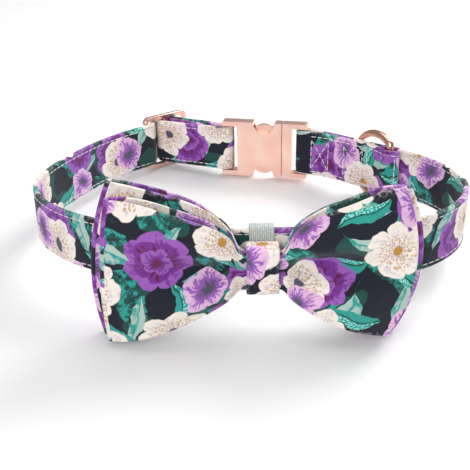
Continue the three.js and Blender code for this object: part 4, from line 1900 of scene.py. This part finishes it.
@dataclass(frozen=True)
class StrapSlide:
    """The slide: a rounded frame of bright wire-like bars with one bar down its middle."""

    place: PlanPlace = FITTINGS.slide
    length: float = FITTINGS.slide_length
    height: float = 25.0
    bar: float = FITTINGS.slide_bar
    slot_height: float = 21.0
    corner: float = 3.0
    slot_corner: float = 1.0
    edge_round: float = 0.8

    def build(self, finishes: Finishes) -> None:
        """Build and dress the slide.

        Args:
            finishes: the collar's materials.
        """
        slot_length = (self.length - 3 * self.bar) / 2
        cuts = []
        for side in (-1, 1):
            middle = side * (slot_length + self.bar) / 2
            hole = rounded_rectangle(slot_length, self.slot_height, self.slot_corner, 5, middle)
            cuts.append((Cut.TAKE_AWAY, plate(hole, self.bar + 2)))
        outline = rounded_rectangle(self.length, self.height, self.corner, 10)
        solid = combined(plate(outline, self.bar), cuts)
        matrix = self.place.matrix(FITTINGS.middle)
        piece = as_piece(
            solid, "slide_frame", finishes.bright_gold, Body.COLLAR, ("strap_slide",), matrix
        )
        bevelled(piece, self.edge_round, 4)


@dataclass(frozen=True)
class LeashRing:
    """The D-shaped leash ring: a straight bar in the strap's pocket, two short arms and a round bow."""

    place: PlanPlace = FITTINGS.ring
    wire: float = FITTINGS.ring_wire
    height: float = 31.0
    depth: float = 25.0
    corner: float = 2.0
    wire_steps: int = 24

    def line(self) -> Line:
        """Return the wire's middle line in the ring's own plane, along and up.

        Returns:
            The line, open at its end.
        """
        bow = (self.height - self.wire) / 2
        bow_place = self.depth - self.wire - bow
        bend = math.sqrt((bow - self.corner) ** 2 - (bow_place - self.corner) ** 2)
        turn = math.atan2(bend, self.corner - bow_place)
        points = [Vector((0, -bend)), Vector((0, bend))]
        points += arc(Vector((self.corner, bend)), self.corner, math.pi, turn, clockwise=True, steps=12)
        points += arc(Vector((bow_place, 0)), bow, turn, -turn, clockwise=True, steps=80)
        points += arc(Vector((self.corner, -bend)), self.corner, -turn, -math.pi, clockwise=True, steps=12)
        return even(points, 0.7)[:-1]

    def build(self, finishes: Finishes) -> None:
        """Build and dress the ring.

        Args:
            finishes: the collar's materials.
        """
        line = self.line()
        lengths = lengths_of(line)
        stations = []
        for i, point in enumerate(line):
            ahead = (line[(i + 1) % len(line)] - line[i - 1]).normalized()
            place = Vector((point.x, 0, point.y))
            stations.append(Station(place, Vector((ahead.y, 0, -ahead.x)), Vector((0, 1, 0)), lengths[i]))
        turns = [math.tau * i / self.wire_steps for i in range(self.wire_steps)]
        circle = [on_circle(Vector((0, 0)), self.wire / 2, turn) for turn in turns]
        profile = [(point.x, point.y) for point in circle]
        bm = swept(stations, lambda i: profile, ring=True)
        matrix = self.place.matrix(FITTINGS.middle)
        as_piece(bm, "ring_wire", finishes.copper_gold, Body.RING, ("leash_ring",), matrix)


# Bow


@dataclass(frozen=True)
class WingRow:
    """One row of a wing, from the knot to the tip, with the same columns as the part's plain wings."""

    along: float
    top: float
    bottom: float
    forward: float
    belly: float
    pleat: float
    lobe: float


@dataclass(frozen=True)
class WingTip:
    """A wing's length from the knot's middle at its top corner, middle and bottom corner."""

    top: float
    middle: float
    bottom: float

    def length(self, height: float) -> float:
        """Return the length at a height between the bottom corner, -1, and the top corner, 1.

        Args:
            height: the height.

        Returns:
            The length.
        """
        lean = (self.top - self.bottom) / 2
        bulge = (self.top + self.bottom) / 2 - self.middle
        return self.middle + lean * height + bulge * height**2


BOW_ALONG = 8.5
BOW_HEIGHT = 9.6
FRONT_LEFT = (
    WingRow(0.0, 6.0, -6.0, 0.0, 0.8, 1.5, 0.0), WingRow(0.15, 6.1, -6.1, 0.0, 0.8, 1.5, 0.0),
    WingRow(0.24, 13.4, -9.6, 1.7, 1.3, 3.4, 1.2), WingRow(0.42, 18.8, -14.0, 3.0, 2.2, 3.4, 2.0),
    WingRow(0.65, 22.8, -18.0, 3.8, 2.7, 2.0, 1.6), WingRow(0.85, 25.5, -20.8, 3.6, 2.2, 0.8, 0.8),
    WingRow(1.0, 26.4, -22.4, 3.0, 1.1, 0.2, 0.2),
)
FRONT_RIGHT = (
    WingRow(0.0, 6.0, -6.0, 0.0, 0.8, 1.5, 0.0), WingRow(0.155, 6.1, -6.1, 0.0, 0.8, 1.5, 0.0),
    WingRow(0.26, 15.0, -9.6, 1.7, 1.3, 3.4, 1.4), WingRow(0.44, 20.8, -13.8, 3.0, 2.2, 3.6, 2.2),
    WingRow(0.66, 24.7, -17.2, 3.8, 2.7, 2.2, 1.8), WingRow(0.86, 27.8, -19.6, 3.6, 2.2, 0.8, 0.8),
    WingRow(1.0, 29.0, -21.8, 3.0, 1.1, 0.2, 0.2),
)
BACK_LEFT = (
    WingRow(0.0, 6.0, -6.0, 0.0, 0.8, 1.5, 0.0), WingRow(0.15, 6.1, -6.1, 0.0, 0.8, 1.5, 0.0),
    WingRow(0.24, 13.8, -9.4, -0.8, 1.0, 2.6, 0.8), WingRow(0.42, 20.2, -13.0, -1.2, 1.4, 2.2, 0.8),
    WingRow(0.65, 25.1, -17.2, -1.4, 1.8, 1.3, 0.5), WingRow(0.85, 28.1, -20.8, -1.0, 1.7, 0.5, 0.3),
    WingRow(1.0, 29.4, -23.8, -0.4, 1.1, 0.0, 0.0),
)
BACK_RIGHT = (
    WingRow(0.0, 6.0, -6.0, 0.0, 0.8, 1.5, 0.0), WingRow(0.15, 6.1, -6.1, 0.0, 0.8, 1.5, 0.0),
    WingRow(0.24, 13.2, -9.4, -0.8, 1.0, 2.6, 0.8), WingRow(0.42, 18.3, -12.8, -1.2, 1.4, 2.2, 0.8),
    WingRow(0.65, 22.4, -16.6, -1.4, 1.8, 1.3, 0.5), WingRow(0.85, 24.8, -19.4, -1.0, 1.7, 0.5, 0.3),
    WingRow(1.0, 25.6, -22.8, -0.4, 1.1, 0.0, 0.0),
)


@dataclass(frozen=True)
class Wing:
    """One wing of a bow."""

    side: Side
    rows: tuple[WingRow, ...]
    tip: WingTip
    fold_radius: float = 1.1
    pleat_spread: float = 0.28
    crease: float = 1.3
    crease_place: float = 0.04
    crease_spread: float = 0.085
    folds: Pair = (0.5, 9.0)
    small_folds: Pair = (0.25, 17.0)
    ripple: float = 0.55
    sway: float = 0.35

    def column(self, name: str, part: float) -> float:
        """Return a column's smooth value part of the way from the knot to the tip."""
        return along_values([getattr(row, name) for row in self.rows], part)

    def relief(self, part: float, height: float, seed: float) -> float:
        """Return the small folds and ripples of the cloth, forwards, shared by both panels.

        Args:
            part: how far from the knot to the tip.
            height: from -1 to 1.
            seed: sets the bow's ripples.

        Returns:
            Millimetres forwards.
        """
        fade = smooth(part, 0.2, 0.34) * (1 - smooth(part, 0.45, 0.95))
        (deep, pace), (small, small_pace) = self.folds, self.small_folds
        folds = deep * math.cos(pace * height + self.side.value * 0.7 + seed)
        folds += small * math.cos(small_pace * height - seed)
        ripple = noise.noise(Vector((part * 3.0 + seed, height * 1.7, self.side.value * 2.0)))
        return folds * fade + self.ripple * ripple * smooth(part, 0.25, 0.5)

    def point(self, part: float, height: float, face: int, plane: float, seed: float) -> Vector:
        """Find one place of a panel's middle.

        Args:
            part: how far from the knot to the tip, 0 to 1.
            height: from the bottom corner, -1, to the top corner, 1.
            face: -1 for the front panel and 1 for the back panel.
            plane: the bow's middle plane.
            seed: sets this bow's ripples apart from the other's.

        Returns:
            The place, with the knot's middle at x 0 and z 0.
        """
        fold = self.column("pleat", part) * math.exp(-((height / self.pleat_spread) ** 2))
        fold -= self.column("lobe", part) * math.sin(math.pi * height) ** 2
        pinch = self.crease * smooth(part, 0.28, 0.42) * (1 - smooth(part, 0.8, 1.0))
        fold += pinch * math.exp(-(((height - self.crease_place) / self.crease_spread) ** 2))
        top, bottom = self.column("top", part), self.column("bottom", part)
        length = self.tip.length(height) - self.fold_radius
        y = plane - self.column("forward", part) + face * self.column("belly", part) + fold
        sway = self.sway * math.sin(9.0 * part + seed * 2.0) * smooth(part, 0.3, 0.6)
        return Vector((
            self.side.value * self.column("along", part) * length,
            y - self.relief(part, height, seed),
            (top + bottom) / 2 + height * (top - bottom) / 2 + sway * height,
        ))


@dataclass(frozen=True)
class ClothBow:
    """One bow: a flat closed strip of printed cloth, pinched at the knot and open above and below."""

    name: str
    node: str
    plane: float
    left: Wing
    right: Wing
    seed: float
    shift: Pair
    cloth: float = 1.25
    along: float = BOW_ALONG
    height: float = BOW_HEIGHT
    panel_steps: int = 44
    fold_steps: int = 8
    height_steps: int = 36
    flat_height: float = 48.0
    hem_round: float = 0.42
    hem_rub: float = 0.93
    measured_at: float = 0.6
    print_stretch: float = 0.45

    def strip(self) -> list[tuple[Wing, float, int, float]]:
        """Return the strip's places round the bow: wing, part, face, and the turn within the tip's fold.

        Returns:
            The places, in order.
        """
        steps = [i / self.panel_steps for i in range(self.panel_steps + 1)]
        inwards = steps[:0:-1]
        turns = [math.pi * (i / self.fold_steps - 0.5) for i in range(1, self.fold_steps)]
        front_left = [(self.left, part, -1, 0.0) for part in inwards]
        front_right = [(self.right, part, -1, 0.0) for part in steps]
        right_fold = [(self.right, 1.0, 0, turn) for turn in turns]
        back_right = [(self.right, part, 1, 0.0) for part in inwards]
        back_left = [(self.left, part, 1, 0.0) for part in steps]
        left_fold = [(self.left, 1.0, 0, turn) for turn in reversed(turns)]
        return front_left + front_right + right_fold + back_right + back_left + left_fold

    def place(self, wing: Wing, part: float, face: int, turn: float, height: float) -> Vector:
        """Return one place of the strip, in the loop's frame.

        Args:
            wing: the wing.
            part: how far from the knot to the tip.
            face: -1, 1, or 0 in the tip's fold.
            turn: the turn within that fold.
            height: from -1 to 1.

        Returns:
            The place.
        """
        if face:
            point = wing.point(part, height, face, self.plane, self.seed)
        else:
            front = wing.point(1.0, height, -1, self.plane, self.seed)
            back = wing.point(1.0, height, 1, self.plane, self.seed)
            radius = (back.y - front.y) / 2
            point = front.copy()
            point.x += wing.side.value * radius * math.cos(turn)
            point.y = (front.y + back.y) / 2 + radius * math.sin(turn)
        return point + Vector((self.along, 0, self.height))

    def build(self, finishes: Finishes) -> bpy.types.Object:
        """Build and dress the bow.

        Args:
            finishes: the collar's materials.

        Returns:
            The piece.
        """
        strip = self.strip()
        count, levels = len(strip), self.height_steps
        bm = bmesh.new()
        flat = bm.loops.layers.uv.new(FLAT_UV)
        rub = bm.verts.layers.float.new(RUB)
        bmesh.ops.create_grid(bm, x_segments=count, y_segments=levels, size=0.5, calc_uvs=True)
        runs = [0.0]
        middle = [self.place(*strip[i % count], self.measured_at) for i in range(count + 1)]
        for before, point in zip(middle, middle[1:]):
            runs.append(runs[-1] + (point - before).length)
        heights = {}
        for vert in bm.verts:
            i = round((vert.co.x + 0.5) * count)
            level = 2 * (vert.co.y + 0.5) - 1
            j = round((vert.co.y + 0.5) * levels)
            vert.co = self.place(*strip[i % count], level)
            vert[rub] = smooth(abs(level), self.hem_rub, 1.0)
            drawn = (1 - self.print_stretch) * level * self.flat_height / 2
            heights[i, j] = self.print_stretch * (vert.co.z - self.height) + drawn
        for face in bm.faces:
            for corner in face.loops:
                i = round(corner[flat].uv.x * count)
                j = round(corner[flat].uv.y * levels)
                corner[flat].uv = ((runs[i] + self.shift[0]) * MM, (heights[i, j] + self.shift[1]) * MM)
        bmesh.ops.remove_doubles(bm, verts=bm.verts, dist=1e-4)
        bmesh.ops.recalc_face_normals(bm, faces=bm.faces)
        piece = as_piece(bm, self.name, finishes.cloth, Body.COLLAR, (self.node,))
        wall = piece.modifiers.new("wall", "SOLIDIFY")
        wall.thickness = self.cloth * MM
        wall.offset = 0.0
        wall.use_even_offset = True
        bevelled(piece, self.hem_round, 3, 60.0)
        return piece


@dataclass(frozen=True)
class BowTie:
    """The layered bow tie: two bows, the knot's band round both, and the elastic that holds the strap."""

    strap_front: float = -37.6
    along: float = BOW_ALONG
    height: float = BOW_HEIGHT
    gap: float = FITTINGS.gap
    cloth: float = 1.3
    knot_cloth: float = 1.2
    knot_width: float = 10.4
    knot_height: float = 15.2
    knot_corner: float = 2.2
    pleat_at_knot: float = 1.5
    elastic: float = 0.9
    elastic_width: float = 8.0
    strap_width: float = FITTINGS.width
    strap_thickness: float = FITTINGS.thickness

    @property
    def pitch(self) -> float:
        """Return the distance between the middles of two layers of cloth."""
        return self.cloth + self.gap

    @property
    def elastic_reach(self) -> float:
        """Return the elastic's outside, from the strap's middle."""
        return self.strap_thickness / 2 + self.gap + self.elastic

    @property
    def knot_back(self) -> float:
        """Return the knot's rearmost plane."""
        return self.strap_front - self.elastic_reach - self.gap

    @property
    def back_plane(self) -> float:
        """Return the back bow's middle plane."""
        return self.knot_back - self.knot_cloth - self.gap - self.cloth / 2 - self.pleat_at_knot - self.pitch / 2

    @property
    def front_plane(self) -> float:
        """Return the front bow's middle plane."""
        return self.back_plane - 2 * self.pitch

    @property
    def knot_front(self) -> float:
        """Return the knot's foremost plane."""
        return self.front_plane - self.pitch / 2 - self.cloth / 2 - self.gap - self.knot_cloth

    def band(
        self,
        middle: Pair,
        outline: Profile,
        section_at: Callable[[float, float], Profile],
        shift: Pair,
        rub_from: float,
    ) -> Mesh:
        """Sweep a band's section round a closed outline.

        Args:
            middle: the outline's centre, in depth and height.
            outline: the band's middle line, in depth and height.
            section_at: gives the section, across the band and out of it, at a depth and height.
            shift: where on the print the band starts.
            rub_from: the distance from the band's middle where its rubbed edge begins.

        Returns:
            The band's mesh, with its width along X.
        """
        line = even([Vector(point) for point in outline + outline[:1]], 0.6)[:-1]
        lengths = lengths_of(line)
        stations = []
        for i, point in enumerate(line):
            ahead = (line[(i + 1) % len(line)] - line[i - 1]).normalized()
            place = Vector((self.along, middle[0] + point.x, middle[1] + point.y))
            stations.append(Station(place, Vector((1, 0, 0)), Vector((0, ahead.y, -ahead.x)), lengths[i]))
        profiles = [section_at(point.x, point.y) for point in line]
        return swept(
            stations, lambda i: profiles[i], ring=True, shift=shift,
            rub_at=lambda j: smooth(abs(profiles[0][j][0]), rub_from, rub_from + 0.4),
        )

    def knot(self, finishes: Finishes) -> bpy.types.Object:
        """Build and dress the knot's band, with two soft creases down its front.

        Args:
            finishes: the collar's materials.

        Returns:
            The piece.
        """
        depth = self.knot_back - self.knot_front
        middle = ((self.knot_back + self.knot_front) / 2, self.height)
        inset = self.knot_cloth / 2
        outline = rounded_rectangle(depth - 2 * inset, self.knot_height - 2 * inset, self.knot_corner - inset, 8)
        xs = [-0.5, -0.47, -0.4, -0.3, -0.22, -0.14, -0.05, 0.05, 0.14, 0.22, 0.3, 0.4, 0.47, 0.5]
        depth_of_fold = {-0.22: 0.22, 0.22: 0.16, -0.14: 0.08, 0.14: 0.08, -0.3: 0.08, 0.3: 0.06}

        def section(y: float, z: float) -> Profile:
            """Return the band's section, drawn in at the height of the bow's long fold.

            Args:
                y: the depth from the knot's middle.
                z: the height from its middle.

            Returns:
                The section's outline.
            """
            width = self.knot_width * (1 - 0.035 * math.exp(-((z / 4.0) ** 2)))
            half = self.knot_cloth / 2
            front = 1.0 if y < 0 else 0.3
            over = []
            for x in xs:
                crown = (1 - (2 * x) ** 2) * 0.18 * front
                rim = 0.45 * half if abs(x) == 0.5 else 0.88 * half if abs(x) == 0.47 else half
                over.append((x * width, rim + crown - depth_of_fold.get(x, 0.0) * front))
            under = [(x * width, -(0.45 * half if abs(x) == 0.5 else half)) for x in reversed(xs)]
            return over + under

        bm = self.band(middle, outline, section, (70.0, 20.0), self.knot_width / 2 - 0.7)
        piece = as_piece(bm, "knot_band", finishes.cloth, Body.COLLAR, ("bow_knot",))
        return piece

    def elastic_band(self, finishes: Finishes) -> bpy.types.Object:
        """Build and dress the elastic round the strap.

        Args:
            finishes: the collar's materials.

        Returns:
            The piece.
        """
        height = self.strap_width + 2 * (self.gap + self.elastic)
        inset = self.elastic / 2
        outline = rounded_rectangle(2 * (self.elastic_reach - inset), height - 2 * inset, 1.2 - inset, 6)
        section = rounded_rectangle(self.elastic_width, self.elastic, 0.4, 3)
        middle = (self.strap_front, self.strap_width / 2)
        bm = self.band(middle, outline, lambda y, z: section, (0.0, 0.0), self.elastic_width)
        return as_piece(bm, "elastic_band", finishes.elastic, Body.COLLAR, ("strap_elastic",))

    def build(self, finishes: Finishes) -> None:
        """Build and dress the bow tie's pieces.

        Args:
            finishes: the collar's materials.
        """
        left, right = Side.LEFT, Side.RIGHT
        self.knot(finishes)
        self.elastic_band(finishes)
        ClothBow(
            "front_bow_cloth", "front_bow", self.front_plane,
            Wing(left, FRONT_LEFT, WingTip(46.6, 49.9, 49.2)), Wing(right, FRONT_RIGHT, WingTip(41.6, 46.9, 40.2)),
            0.4, (10.0, 0.0),
        ).build(finishes)
        ClothBow(
            "back_bow_cloth", "back_bow", self.back_plane,
            Wing(left, BACK_LEFT, WingTip(46.8, 53.6, 51.4)), Wing(right, BACK_RIGHT, WingTip(45.0, 50.2, 43.4)),
            2.1, (67.0, 83.0),
        ).build(finishes)


# Studio


@dataclass(frozen=True)
class Lamp:
    """One square soft light that points at the collar: its place, its side in metres and its watts."""

    name: str
    place: Triple
    side: float
    watts: float
    aim: Triple = (0, 0, 0.02)

    def hang(self) -> None:
        """Hang the light."""
        data = bpy.data.lights.new(self.name, "AREA")
        data.shape = "SQUARE"
        data.size = self.side
        data.energy = self.watts
        lamp = bpy.data.objects.new(self.name, data)
        lamp.location = self.place
        lamp.rotation_euler = (Vector(self.aim) - Vector(self.place)).to_track_quat("-Z", "Y").to_euler()
        bpy.context.scene.collection.objects.link(lamp)


@dataclass(frozen=True)
class Studio:
    """A pale floor, soft lights, and a camera where the photograph's stood."""

    lamps: tuple[Lamp, ...] = (
        Lamp("overhead", (0.1, 0.3, 1.2), 1.2, 6.2),
        Lamp("key", (0.6, 0.5, 0.6), 0.5, 7.5),
        Lamp("fill", (-0.3, -0.9, 0.6), 0.8, 7.0),
    )
    world_strength: float = 0.32
    floor_size: float = 6.0
    camera_place: Triple = (-0.0054143, -0.2677305, 0.1525853)
    camera_target: Triple = (-0.0054143, -0.020518, 0.0105403)
    camera_roll_deg: float = -0.83
    focal_pixels: float = 758.0
    image_pixels: float = 470.0
    sensor_mm: float = 36.0

    def floor(self) -> None:
        """Lay the floor."""
        bm = bmesh.new()
        bmesh.ops.create_grid(bm, x_segments=8, y_segments=8, size=self.floor_size / 2)
        floor = as_object(bm, "floor")
        recipe = Recipe("paper_floor")
        grain = recipe.noise(recipe.place(), 60.0, 3.0).outputs[0]
        colour = recipe.mix(grain, (0.93, 0.93, 0.935, 1), (0.97, 0.97, 0.97, 1))
        recipe.set(Base_Color=colour, Roughness=recipe.linear(grain, 0.2, 0.35))
        floor.data.materials.append(recipe.material)
        floor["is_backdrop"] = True

    def camera(self) -> None:
        """Set up the camera."""
        data = bpy.data.cameras.new("camera")
        data.sensor_width = self.sensor_mm
        data.lens = self.focal_pixels / self.image_pixels * self.sensor_mm
        data.clip_start = 0.01
        camera = bpy.data.objects.new("camera", data)
        place, target = Vector(self.camera_place), Vector(self.camera_target)
        look = (target - place).to_track_quat("-Z", "Y").to_matrix()
        roll = Matrix.Rotation(math.radians(self.camera_roll_deg), 3, "Z")
        camera.matrix_world = Matrix.Translation(place) @ (look @ roll).to_4x4()
        bpy.context.scene.collection.objects.link(camera)
        bpy.context.scene.camera = camera

    def build(self) -> None:
        """Set up the floor, the lights and the camera."""
        self.floor()
        self.camera()
        for lamp in self.lamps:
            lamp.hang()
        world = bpy.data.worlds.new("studio")
        world.use_nodes = True
        background = world.node_tree.nodes["Background"]
        background.inputs["Color"].default_value = (1, 1, 1, 1)
        background.inputs["Strength"].default_value = self.world_strength
        scene = bpy.context.scene
        scene.world = world
        scene.view_settings.view_transform = "Standard"


def main(cad_box: tuple) -> None:
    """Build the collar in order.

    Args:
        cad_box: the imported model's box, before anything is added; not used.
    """
    logging.basicConfig(level=logging.INFO, format="%(message)s")
    finishes = Finishes.make()
    Studio().build()
    Strap().build(finishes)
    Buckle().build(finishes)
    StrapSlide().build(finishes)
    LeashRing().build(finishes)
    BowTie().build(finishes)
    bpy.context.view_layer.update()


if __name__ == "__main__":
    main(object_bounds())
